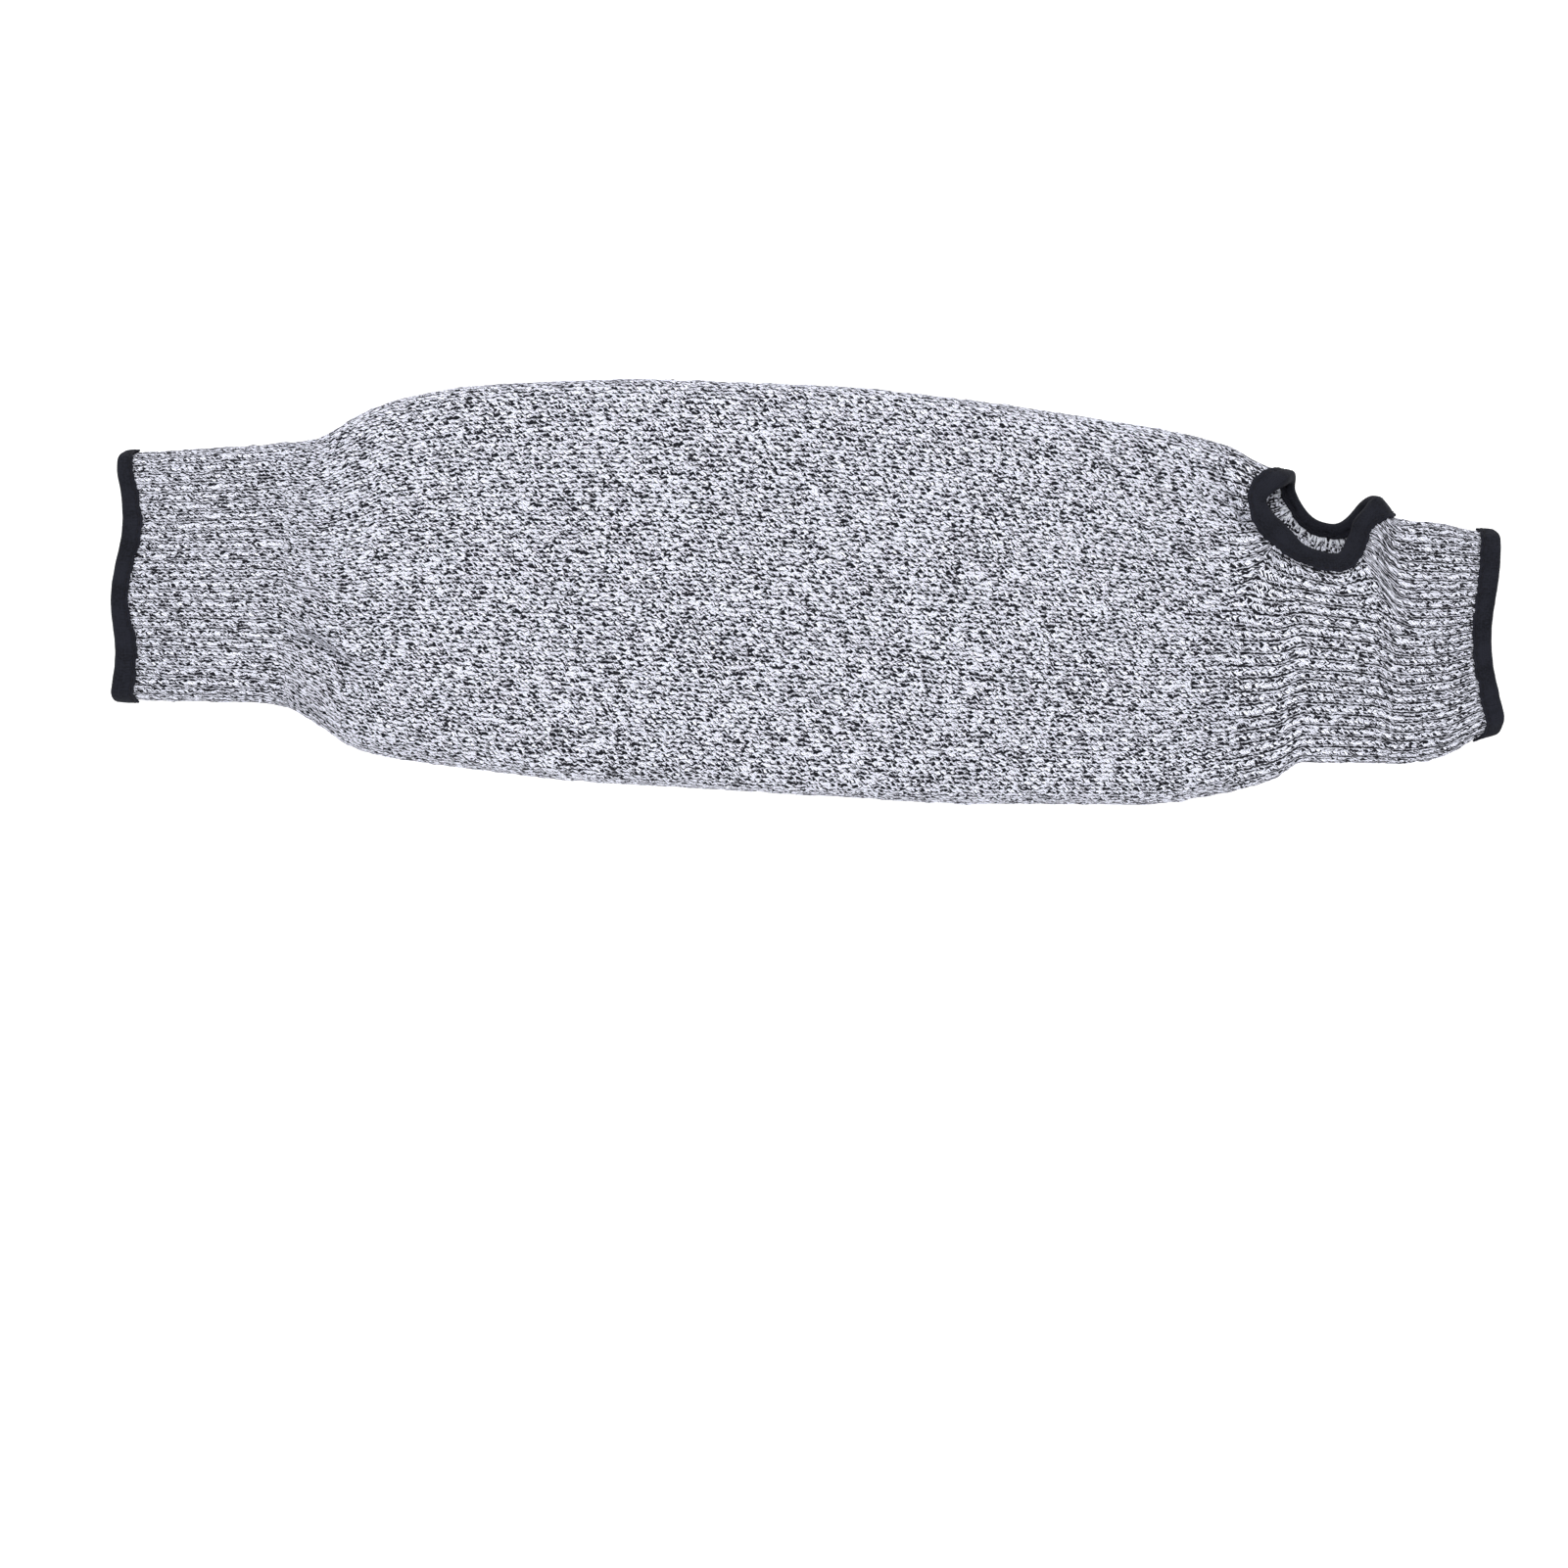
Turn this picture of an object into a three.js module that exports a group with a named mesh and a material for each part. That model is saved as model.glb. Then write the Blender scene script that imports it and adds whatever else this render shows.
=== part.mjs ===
// A cut resistant sleeve lying flat: a knitted tube with a ribbed cuff at each end, a thumb hole in the
// fold of the hand cuff, and a folded tape bound over each of its three raw edges.
// Millimetres. +X runs from the elbow hem to the hand hem, +Y is the thumb side and +Z is up.
// The origin is the middle of the sleeve's length and width, on the surface it lies on.

import * as THREE from 'three';

// Driving dimensions
const sleeveLength = 450;
const sleeveWidth = 138;
const lyingHeight = 20;
const knitWall = 1.6;
const ribCount = 56;
const ribDepth = 0.4;

const tapeThickness = 0.8;
const seamGap = 0.3;
const thumbSeamGap = 0.5;
const elbowTapeWidth = 5.9;
const handTapeWidth = 5.7;
const thumbTapeWidth = 6;
const tapeBelly = 0.22;

// Where the cuffs end and the body begins, as shares of the length from the elbow hem
const elbowCuffEnd = 0.127;
const handCuffStart = 0.802;

// The thumb hole, as cut in the cloth: an egg whose length runs along the sleeve and whose span runs
// round the fold, with the broad end on the upper layer, where it leans towards the elbow. The station
// is a share of the length, as in the outline, and past fold is how far its middle is onto that layer.
const thumbHole = {
  at: 0.8747,
  pastFold: 4.5,
  length: 31.6,
  span: 46.2,
  broad: 0.25,
  lean: 4.6,
};

// How a cross-section is shaped: the share of its height that the upper layer is domed by, and the
// points that each layer is measured along
const crownShare = 0.2;
const foldSamples = 96;

// How far the cloth stands off the ground where a binding runs below it
const groundClearance = 0.1;
const tapeStack = seamGap + tapeThickness;
const bindingLift = thumbSeamGap + tapeThickness + groundClearance;
const liftRun = 14;

// Outline from above and height along the sleeve. The station is a share of the length from the elbow
// hem, the edges are shares of the width from the centre line, and the height is a share of the height.
const outlineRows = [
  { at: 0.0, thumbEdge: 0.322, farEdge: -0.248, height: 0.62 },
  { at: 0.03, thumbEdge: 0.331, farEdge: -0.252, height: 0.63 },
  { at: 0.118, thumbEdge: 0.346, farEdge: -0.263, height: 0.7 },
  { at: 0.147, thumbEdge: 0.356, farEdge: -0.307, height: 0.77 },
  { at: 0.174, thumbEdge: 0.404, farEdge: -0.362, height: 0.85 },
  { at: 0.202, thumbEdge: 0.447, farEdge: -0.386, height: 0.91 },
  { at: 0.273, thumbEdge: 0.486, farEdge: -0.42, height: 0.98 },
  { at: 0.378, thumbEdge: 0.498, farEdge: -0.449, height: 1.0 },
  { at: 0.484, thumbEdge: 0.486, farEdge: -0.47, height: 1.0 },
  { at: 0.624, thumbEdge: 0.447, farEdge: -0.496, height: 0.98 },
  { at: 0.733, thumbEdge: 0.391, farEdge: -0.497, height: 0.92 },
  { at: 0.8, thumbEdge: 0.342, farEdge: -0.47, height: 0.83 },
  { at: 0.836, thumbEdge: 0.289, farEdge: -0.436, height: 0.77 },
  { at: 0.856, thumbEdge: 0.272, farEdge: -0.398, height: 0.74 },
  { at: 0.907, thumbEdge: 0.228, farEdge: -0.4, height: 0.68 },
  { at: 0.924, thumbEdge: 0.172, farEdge: -0.403, height: 0.66 },
  { at: 0.956, thumbEdge: 0.161, farEdge: -0.388, height: 0.63 },
  { at: 0.984, thumbEdge: 0.144, farEdge: -0.336, height: 0.62 },
  { at: 1.0, thumbEdge: 0.138, farEdge: -0.318, height: 0.62 },
];

// Dents and gathers in the upper layer, each along a line from one place to another. Stations and sides
// are shares of the length and width as above, and depth and width are shares of the height.
const foldRows = [
  { fromAt: 0.145, fromSide: -0.1, toAt: 0.192, toSide: -0.2, depth: 0.11, width: 0.225 },
  { fromAt: 0.137, fromSide: -0.25, toAt: 0.174, toSide: -0.322, depth: 0.09, width: 0.25 },
  { fromAt: 0.15, fromSide: 0.27, toAt: 0.158, toSide: 0.1, depth: 0.05, width: 0.3 },
  { fromAt: 0.026, fromSide: -0.1, toAt: 0.045, toSide: -0.18, depth: 0.045, width: 0.3 },
  { fromAt: 0.793, fromSide: 0.27, toAt: 0.833, toSide: 0.08, depth: 0.08, width: 0.25 },
  { fromAt: 0.78, fromSide: -0.07, toAt: 0.826, toSide: -0.12, depth: 0.065, width: 0.225 },
  { fromAt: 0.79, fromSide: -0.28, toAt: 0.832, toSide: -0.32, depth: 0.075, width: 0.225 },
  { fromAt: 0.925, fromSide: 0.03, toAt: 0.955, toSide: -0.09, depth: 0.075, width: 0.45 },
  { fromAt: 0.885, fromSide: -0.26, toAt: 0.935, toSide: -0.33, depth: 0.065, width: 0.4 },
];

// How each hem wanders from a straight cut. Inset is its mean distance inside the sleeve's length, lean
// is how much more that is at the thumb side, and the wave's run and crest are shares of half a width.
// Slant is the share by which its tape is narrower at the thumb side and wider at the far side.
const hemRows = {
  elbow: { inset: 1.9, lean: 1.7, wave: 0.9, run: 1.1, crest: 0.4, slant: 0.24 },
  hand: { inset: 1.7, lean: 0, wave: 1.4, run: 1.5, crest: 0.02, slant: 0 },
};
const hemReach = 32;
const lowerHemSetBack = 1.5;

// Rows of the knit's surface along the sleeve: each band ends at a station and is cut into some cells,
// and its rows are ribbed, with a crest and a groove for each rib, or plain.
const stationAt = (at) => (at - 0.5) * sleeveLength;
const hemEdge = sleeveLength / 2 - tapeStack;
const ribClearance = 1.2;
const elbowRibs = -sleeveLength / 2 + elbowTapeWidth * (1 + hemRows.elbow.slant) + ribClearance;
const handRibs = sleeveLength / 2 - handTapeWidth * (1 + hemRows.hand.slant) - ribClearance;
const holeStation = stationAt(thumbHole.at);
const holeStart = holeStation - thumbHole.lean / 2 - thumbHole.length / 2;
const holeEnd = holeStation - thumbHole.lean / 2 + thumbHole.length / 2;
const rowBands = [
  { end: elbowRibs, cells: 1, ribbed: true },
  { end: stationAt(elbowCuffEnd), cells: 3, ribbed: true },
  { end: stationAt(0.144), cells: 1, ribbed: false },
  { end: stationAt(0.233), cells: 4, ribbed: false },
  { end: stationAt(0.749), cells: 10, ribbed: false },
  { end: stationAt(handCuffStart), cells: 2, ribbed: false },
  { end: holeStart - thumbTapeWidth, cells: 1, ribbed: true },
  { end: holeStart, cells: 1, ribbed: true },
  { end: holeEnd, cells: 5, ribbed: true, hole: true },
  { end: holeEnd + thumbTapeWidth, cells: 1, ribbed: true },
  { end: handRibs, cells: 3, ribbed: true },
  { end: hemEdge, cells: 1, ribbed: false },
];
const halfRibs = ribCount * 2;

// How far from the thumb hole the cells are drawn in to it, in halves of its own size
const holeReach = 2;

// Returns a column of a table at a station, by a curve that never overshoots its rows.
function along(rows, column, at) {
  let i = 0;
  while (i < rows.length - 2 && rows[i + 1].at < at) i += 1;
  const slope = (k) => (rows[k + 1][column] - rows[k][column]) / (rows[k + 1].at - rows[k].at);
  const tangent = (k) => {
    if (k === 0) return slope(0);
    if (k === rows.length - 1) return slope(k - 1);
    const before = slope(k - 1);
    const after = slope(k);
    return before * after <= 0 ? 0 : (2 * before * after) / (before + after);
  };
  const run = rows[i + 1].at - rows[i].at;
  const t = THREE.MathUtils.clamp((at - rows[i].at) / run, 0, 1);
  const rise = rows[i + 1][column] - rows[i][column];
  const bend = (tangent(i) * (1 - t) - tangent(i + 1) * t) * run - rise * (1 - 2 * t);
  return rows[i][column] + rise * t + t * (1 - t) * bend;
}

// Returns how far the cloth stands off the ground at a station, where a binding runs near it.
function liftAt(x) {
  const elbow = 1 - THREE.MathUtils.smoothstep(x, elbowRibs, elbowRibs + liftRun);
  const cuff = stationAt(handCuffStart);
  const hand = THREE.MathUtils.smoothstep(x, cuff - liftRun, cuff);
  return bindingLift * Math.max(elbow, hand);
}

// Returns the cross-section at a station: the upper and the lower layer, each as points from the thumb
// side's fold to the far side's fold with their distances along it.
function crossSection(x) {
  const at = x / sleeveLength + 0.5;
  const thumbEdge = along(outlineRows, 'thumbEdge', at) * sleeveWidth;
  const farEdge = along(outlineRows, 'farEdge', at) * sleeveWidth;
  const height = along(outlineRows, 'height', at) * lyingHeight;
  const halfWidth = (thumbEdge - farEdge) / 2;
  const middle = (thumbEdge + farEdge) / 2;
  const crown = height * crownShare;
  const foldRadius = (height - crown) / 2;
  const lift = liftAt(x);
  const layer = (side) => {
    const points = [];
    let distance = 0;
    for (let i = 0; i <= foldSamples; i += 1) {
      const across = Math.cos((Math.PI * i) / foldSamples);
      const inside = halfWidth * (1 - Math.abs(across));
      const turn = Math.max(0, 1 - inside / foldRadius);
      const flat = foldRadius * Math.sqrt(1 - turn * turn);
      const dome = side > 0 ? crown * (1 - across * across) : 0;
      const y = middle + halfWidth * across;
      const z = lift + foldRadius + side * flat + dome;
      if (i > 0) distance += Math.hypot(y - points[i - 1].y, z - points[i - 1].z);
      points.push({ y, z, distance });
    }
    return { points, length: distance };
  };
  return { upper: layer(1), lower: layer(-1), foldHeight: lift + foldRadius, foldRadius };
}

// Returns how deep the dents are at a place, seen from above.
function foldDepth(x, y) {
  let depth = 0;
  for (const row of foldRows) {
    const startX = stationAt(row.fromAt);
    const startY = row.fromSide * sleeveWidth;
    const runX = stationAt(row.toAt) - startX;
    const runY = row.toSide * sleeveWidth - startY;
    const share = ((x - startX) * runX + (y - startY) * runY) / (runX * runX + runY * runY);
    const near = THREE.MathUtils.clamp(share, 0, 1);
    const away = Math.hypot(x - startX - near * runX, y - startY - near * runY);
    depth += row.depth * lyingHeight * Math.exp(-((away / (row.width * lyingHeight)) ** 2));
  }
  return depth;
}

// Returns a point on the knit's outer face. Around runs from 0 at the thumb side's fold, over the upper
// layer to 0.5 at the far fold, and back through the lower layer to 1.
function outerPoint(x, around) {
  const share = around - Math.floor(around);
  const section = crossSection(x);
  const onUpper = share <= 0.5;
  const layer = onUpper ? section.upper : section.lower;
  const wanted = (onUpper ? share * 2 : 2 - share * 2) * layer.length;
  let i = 1;
  while (i < foldSamples && layer.points[i].distance < wanted) i += 1;
  const a = layer.points[i - 1];
  const b = layer.points[i];
  const t = (wanted - a.distance) / (b.distance - a.distance);
  const y = THREE.MathUtils.lerp(a.y, b.y, t);
  let z = THREE.MathUtils.lerp(a.z, b.z, t);
  const above = (z - section.foldHeight) / section.foldRadius;
  z -= foldDepth(x, y) * THREE.MathUtils.smoothstep(above, 0.1, 1);
  return new THREE.Vector3(x, y, z);
}

// Returns a point on the knit's outer face with the direction that faces out of the cloth there.
function place(x, around) {
  const stepX = sleeveLength / 900;
  const stepAround = 0.002;
  const alongX = outerPoint(x + stepX, around).sub(outerPoint(x - stepX, around));
  const alongRound = outerPoint(x, around + stepAround).sub(outerPoint(x, around - stepAround));
  return { point: outerPoint(x, around), out: alongRound.cross(alongX).normalize() };
}

// Returns how far across the sleeve a place is, from 1 at the thumb side's fold to -1 at the far fold.
function acrossAt(around) {
  const share = around - Math.floor(around);
  return share <= 0.5 ? 1 - 4 * share : 4 * share - 3;
}

// Returns how far a row near a hem moves along the sleeve, so that the hem has its lean and its waves.
function hemShift(x, around) {
  const share = around - Math.floor(around);
  const across = acrossAt(around);
  const lower = share > 0.5 ? Math.sin((share - 0.5) * 2 * Math.PI) : 0;
  const shift = (row) => {
    const wave = row.wave * Math.cos((2 * Math.PI * (across - row.crest)) / row.run);
    return row.inset + row.lean * across + wave + lowerHemSetBack * lower;
  };
  const near = (edge) => 1 - THREE.MathUtils.smoothstep(Math.abs(edge - x), 0, hemReach);
  return shift(hemRows.elbow) * near(-hemEdge) - shift(hemRows.hand) * near(hemEdge);
}

// The sleeve's girth at the thumb hole, and the columns of cells that the hole takes the place of
const holeSection = crossSection(holeStation);
const holeGirth = holeSection.upper.length + holeSection.lower.length;
const ribsTo = (distance) => (distance / holeGirth) * ribCount;
const holeFrom = 2 * Math.floor(ribsTo(thumbHole.pastFold - thumbHole.span / 2));
const holeTo = 2 * Math.ceil(ribsTo(thumbHole.pastFold + thumbHole.span / 2));

// Returns a point of the thumb hole's cut edge at an angle round it, as a station and a share around.
function holeEdge(angle) {
  const across = Math.sin(angle);
  const reach = (thumbHole.length / 2) * Math.cos(angle) * (1 + thumbHole.broad * across);
  const span = thumbHole.pastFold + (thumbHole.span / 2) * across;
  const lean = thumbHole.lean * THREE.MathUtils.smoothstep(across, 0, 0.6);
  return { x: holeStation + reach - lean, around: span / holeGirth };
}

const holeMiddle = {
  x: (holeStart + holeEnd) / 2,
  halfX: (holeEnd - holeStart) / 2,
  column: (holeFrom + holeTo) / 2,
  halfColumns: (holeTo - holeFrom) / 2,
};

// Returns where a corner of the knit's cells lies, and its angle round the thumb hole. Corners round the
// block of cells that the hole takes are drawn in to the hole's edge, and those further out less so.
function corner(rowX, column) {
  const signed = column > halfRibs / 2 ? column - halfRibs : column;
  const acrossX = (rowX - holeMiddle.x) / holeMiddle.halfX;
  const acrossColumns = (signed - holeMiddle.column) / holeMiddle.halfColumns;
  const away = Math.max(Math.abs(acrossX), Math.abs(acrossColumns));
  const angle = Math.atan2(acrossColumns, acrossX);
  let x = rowX;
  let around = signed / halfRibs;
  if (away > 0 && away < holeReach) {
    const edge = holeEdge(angle);
    const blockX = holeMiddle.x + (acrossX / away) * holeMiddle.halfX;
    const blockAround = (holeMiddle.column + (acrossColumns / away) * holeMiddle.halfColumns) / halfRibs;
    const pull = 1 - THREE.MathUtils.smoothstep(away, 1, holeReach);
    x += (edge.x - blockX) * pull;
    around += (edge.around - blockAround) * pull;
  }
  return { x: x + hemShift(x, around), around, angle };
}

// The rows of cells, from the elbow hem to the hand hem
const rows = [{ x: -hemEdge, ribbed: false, hole: false }];
for (const band of rowBands) {
  const start = rows[rows.length - 1].x;
  if (band.hole) rows[rows.length - 1].hole = true;
  for (let i = 1; i <= band.cells; i += 1) {
    const x = start + ((band.end - start) * i) / band.cells;
    rows.push({ x, ribbed: band.ribbed, hole: Boolean(band.hole) });
  }
}
const holeRows = rows.map((row, i) => (row.hole ? i : -1)).filter((i) => i >= 0);
const firstHoleRow = holeRows[0];
const lastHoleRow = holeRows[holeRows.length - 1];

// Joins two lines of corners by a strip of triangles. Each line is a list of { key, vertex } whose keys
// rise together, so a line of crests can meet a line of crests and grooves.
function strip(triangles, first, second) {
  let i = 0;
  let j = 0;
  while (i < first.length - 1 || j < second.length - 1) {
    const nextFirst = i < first.length - 1 ? first[i + 1].key : Infinity;
    const nextSecond = j < second.length - 1 ? second[j + 1].key : Infinity;
    if (nextFirst < nextSecond) {
      triangles.push([first[i].vertex, first[i + 1].vertex, second[j].vertex]);
      i += 1;
    } else {
      triangles.push([first[i].vertex, second[j + 1].vertex, second[j].vertex]);
      j += 1;
    }
  }
}

// Returns a named mesh from corners and triangles.
function solid(name, points, triangles, material) {
  const geometry = new THREE.BufferGeometry();
  const positions = new Float32Array(points.flatMap((p) => [p.x, p.y, p.z]));
  geometry.setAttribute('position', new THREE.BufferAttribute(positions, 3));
  geometry.setIndex(triangles.flat());
  geometry.computeVertexNormals();
  const mesh = new THREE.Mesh(geometry, material);
  mesh.name = name;
  return mesh;
}

// The knitted tube: an outer wall with ribbed cuffs, an inner wall, and the cut edges between them
function knitSleeve() {
  const points = [];
  const triangles = [];
  const add = (point) => points.push(point) - 1;

  // Each row holds its vertices by column, in half ribs
  const outer = rows.map(() => new Map());
  const inner = rows.map(() => new Map());
  rows.forEach((row, r) => {
    const crest = [];
    for (let column = 0; column < halfRibs; column += 2) {
      const spot = corner(row.x, column);
      const { point, out } = place(spot.x, spot.around);
      crest[column] = { point, out };
      outer[r].set(column, add(point));
      inner[r].set(column, add(point.clone().addScaledVector(out, -knitWall)));
    }
    if (!row.ribbed) return;
    for (let column = 1; column < halfRibs; column += 2) {
      const before = crest[column - 1];
      const after = crest[(column + 1) % halfRibs];
      const groove = before.point.clone().add(after.point).multiplyScalar(0.5);
      const signed = column > halfRibs / 2 ? column - halfRibs : column;
      const atHole = row.hole && signed >= holeFrom && signed <= holeTo;
      if (!atHole) groove.addScaledVector(before.out.clone().add(after.out).normalize(), -ribDepth);
      outer[r].set(column, add(groove));
    }
  });

  const line = (row, from, to) => {
    const found = [];
    for (let column = from; column <= to; column += 1) {
      const vertex = row.get(((column % halfRibs) + halfRibs) % halfRibs);
      if (vertex !== undefined) found.push({ key: column, vertex });
    }
    return found;
  };
  for (let r = 0; r < rows.length - 1; r += 1) {
    const open = r >= firstHoleRow && r < lastHoleRow;
    const from = open ? holeTo : 0;
    const to = open ? halfRibs + holeFrom : halfRibs;
    strip(triangles, line(outer[r], from, to), line(outer[r + 1], from, to));
    strip(triangles, line(inner[r + 1], from, to), line(inner[r], from, to));
  }

  const last = rows.length - 1;
  strip(triangles, line(inner[0], 0, halfRibs), line(outer[0], 0, halfRibs));
  strip(triangles, line(outer[last], 0, halfRibs), line(inner[last], 0, halfRibs));

  // The cut edge of the thumb hole, once round the block of cells left out
  const rim = (wall) => {
    const loop = [];
    const sideways = (r, from, to, key) => {
      const found = line(wall[r], Math.min(from, to), Math.max(from, to));
      if (to < from) found.reverse();
      for (const { key: column, vertex } of found) {
        loop.push({ key: key + Math.abs(column - from), vertex });
      }
    };
    const lengthways = (column, from, to, key) => {
      const step = Math.sign(to - from);
      for (let r = from + step; r !== to; r += step) {
        loop.push({ key: key + Math.abs(r - from), vertex: line(wall[r], column, column)[0].vertex });
      }
    };
    const wide = holeTo - holeFrom;
    const deep = lastHoleRow - firstHoleRow;
    sideways(firstHoleRow, holeFrom, holeTo, 0);
    lengthways(holeTo, firstHoleRow, lastHoleRow, wide);
    sideways(lastHoleRow, holeTo, holeFrom, wide + deep);
    lengthways(holeFrom, lastHoleRow, firstHoleRow, wide * 2 + deep);
    loop.push({ key: (wide + deep) * 2, vertex: loop[0].vertex });
    return loop;
  };
  strip(triangles, rim(outer), rim(inner));

  const marlKnit = new THREE.MeshStandardMaterial({ color: '#b3b4bd', roughness: 0.95, metalness: 0 });
  return solid('knit_sleeve', points, triangles, marlKnit);
}

// Returns the section of a tape folded over a cut edge, from the place of the edge, the place where the
// tape's two sides end on the cloth, and the gap between tape and cloth.
function tapeSection(edge, end, gap) {
  const stack = gap + tapeThickness;
  const outwards = edge.point.clone().sub(end.point).normalize();
  const at = (spot, beyond, height) =>
    spot.point.clone().addScaledVector(outwards, beyond).addScaledVector(spot.out, height);
  const belly = (knitWall + stack * 2) * tapeBelly;
  const middle = -knitWall / 2;
  return [
    at(end, 0, stack),
    at(edge, 0, stack),
    at(edge, stack, middle + belly),
    at(edge, stack, middle - belly),
    at(edge, 0, -knitWall - stack),
    at(end, 0, -knitWall - stack),
    at(end, 0, -knitWall - gap),
    at(edge, gap, -knitWall - gap),
    at(edge, gap, gap),
    at(end, 0, gap),
  ];
}

// A tape all the way round an edge, from its sections in order
function binding(name, sections) {
  const count = sections.length;
  const size = sections[0].length;
  const points = sections.flat();
  const triangles = [];
  for (let i = 0; i < count; i += 1) {
    for (let j = 0; j < size; j += 1) {
      const a = i * size + j;
      const b = i * size + ((j + 1) % size);
      const c = ((i + 1) % count) * size + ((j + 1) % size);
      const d = ((i + 1) % count) * size + j;
      triangles.push([a, b, c], [a, c, d]);
    }
  }
  const volume = triangles.reduce((sum, [a, b, c]) => {
    return sum + points[a].dot(points[b].clone().cross(points[c]));
  }, 0);
  if (volume < 0) triangles.forEach((triangle) => triangle.reverse());
  const tape = new THREE.MeshStandardMaterial({ color: '#1c1d27', roughness: 0.8, metalness: 0 });
  return solid(name, points, triangles, tape);
}

// The tape over a hem lies along the first row of the knit's cells, from the hem to the next row in
function hemBinding(name, edgeX, nextX, tapeWidth, slant) {
  const sections = [];
  for (let column = 0; column < halfRibs; column += 2) {
    const width = tapeWidth * (1 - slant * acrossAt(column / halfRibs)) - tapeStack;
    const share = width / Math.abs(edgeX - nextX);
    const atEdge = corner(edgeX, column);
    const atNext = corner(nextX, column);
    const edge = place(atEdge.x, atEdge.around);
    const next = place(atNext.x, atNext.around);
    const point = edge.point.clone().lerp(next.point, share);
    const out = edge.out.clone().lerp(next.out, share).normalize();
    sections.push(tapeSection(edge, { point, out }, seamGap));
  }
  return binding(name, sections);
}

function thumbBinding() {
  const sections = [];
  const addSection = (rowX, column) => {
    const { angle } = corner(rowX, (column + halfRibs) % halfRibs);
    const edge = holeEdge(angle);
    const next = holeEdge(angle + 0.01);
    const last = holeEdge(angle - 0.01);
    const run = new THREE.Vector2(next.x - last.x, (next.around - last.around) * holeGirth).normalize();
    const width = thumbTapeWidth - thumbSeamGap - tapeThickness;
    const end = { x: edge.x + run.y * width, around: edge.around - (run.x * width) / holeGirth };
    sections.push(tapeSection(place(edge.x, edge.around), place(end.x, end.around), thumbSeamGap));
  };
  const rowXs = rows.slice(firstHoleRow, lastHoleRow + 1).map((row) => row.x);
  for (let column = holeFrom; column < holeTo; column += 2) addSection(rowXs[0], column);
  rowXs.slice(0, -1).forEach((rowX) => addSection(rowX, holeTo));
  for (let column = holeTo; column > holeFrom; column -= 2) addSection(rowXs[rowXs.length - 1], column);
  rowXs.slice(1).reverse().forEach((rowX) => addSection(rowX, holeFrom));
  return binding('thumb_binding', sections);
}

const group = new THREE.Group();
group.add(knitSleeve());
group.add(hemBinding('elbow_binding', -hemEdge, elbowRibs, elbowTapeWidth, hemRows.elbow.slant));
group.add(hemBinding('hand_binding', hemEdge, handRibs, handTapeWidth, hemRows.hand.slant));
group.add(thumbBinding());

export default group;
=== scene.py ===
"""The looks of a cut resistant sleeve lying flat: a marl knit tube, its folded tape bindings and its threads.

Blender objects are in metres. The shapes are worked out in millimetres and turned to metres as each mesh is
made. +X runs from the elbow hem to the hand hem, +Y is the thumb side and +Z is up. A place on the knit is
its station x and its share around: 0 at the thumb side's fold, 0.5 at the far fold after the upper layer,
and back to 1 through the lower layer.
"""

import math

import bpy
import numpy as np
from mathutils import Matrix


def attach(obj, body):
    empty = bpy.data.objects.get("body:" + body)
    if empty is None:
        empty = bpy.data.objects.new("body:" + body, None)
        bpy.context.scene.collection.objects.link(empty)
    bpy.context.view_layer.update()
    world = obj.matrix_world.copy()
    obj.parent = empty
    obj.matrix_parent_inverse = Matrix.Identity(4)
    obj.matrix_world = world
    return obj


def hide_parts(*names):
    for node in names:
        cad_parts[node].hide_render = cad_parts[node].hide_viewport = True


bl_info = {
    "name": "Knitted Protective Sleeve",
    "version": (1, 0, 0),
    "blender": (4, 5, 0),
    "location": "3D View > Sidebar > Sleeve",
    "description": "Builds a marl knit forearm sleeve with taped hems and a taped thumb hole",
    "category": "Add Mesh",
}

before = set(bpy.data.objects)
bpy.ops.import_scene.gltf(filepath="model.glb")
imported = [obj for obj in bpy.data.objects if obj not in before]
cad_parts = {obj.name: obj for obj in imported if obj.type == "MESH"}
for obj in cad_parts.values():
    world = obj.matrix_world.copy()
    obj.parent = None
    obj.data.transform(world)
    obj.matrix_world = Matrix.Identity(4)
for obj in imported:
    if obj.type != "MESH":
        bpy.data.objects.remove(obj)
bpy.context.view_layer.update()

MM = 0.001


def linear(code):
    """Turns an sRGB hex colour into linear RGBA: each channel through the sRGB transfer curve."""
    shares = [int(code[i : i + 2], 16) / 255 for i in (1, 3, 5)]
    return [s / 12.92 if s <= 0.04045 else ((s + 0.055) / 1.055) ** 2.4 for s in shares] + [1.0]


# Sizes of the tube, in millimetres, as in the CAD model
LENGTH = 450.0
WIDTH = 138.0
HEIGHT = 20.0
RIBS = 56
WALES_PER_RIB = 3
CROWN_SHARE = 0.2
SEAM_GAP = 0.3
THUMB_SEAM_GAP = 0.5
TAPE_STACK = 1.1
BINDING_LIFT = 1.4
LIFT_RUN = 14.0
ELBOW_TAPE = 5.9
HAND_TAPE = 5.7
THUMB_TAPE = 6.0
RIB_CLEARANCE = 1.2
ELBOW_CUFF_END = 0.127
HAND_CUFF_START = 0.802
HEM_REACH = 32.0
LOWER_SET_BACK = 1.5
HOLE_REACH = 2.0
HEM_EDGE = LENGTH / 2 - TAPE_STACK

# The thumb hole: an egg along x and round the fold, as in the CAD model
HOLE = {"at": 0.8747, "past_fold": 4.5, "length": 31.6, "span": 46.2, "broad": 0.25, "lean": 4.6}

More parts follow.
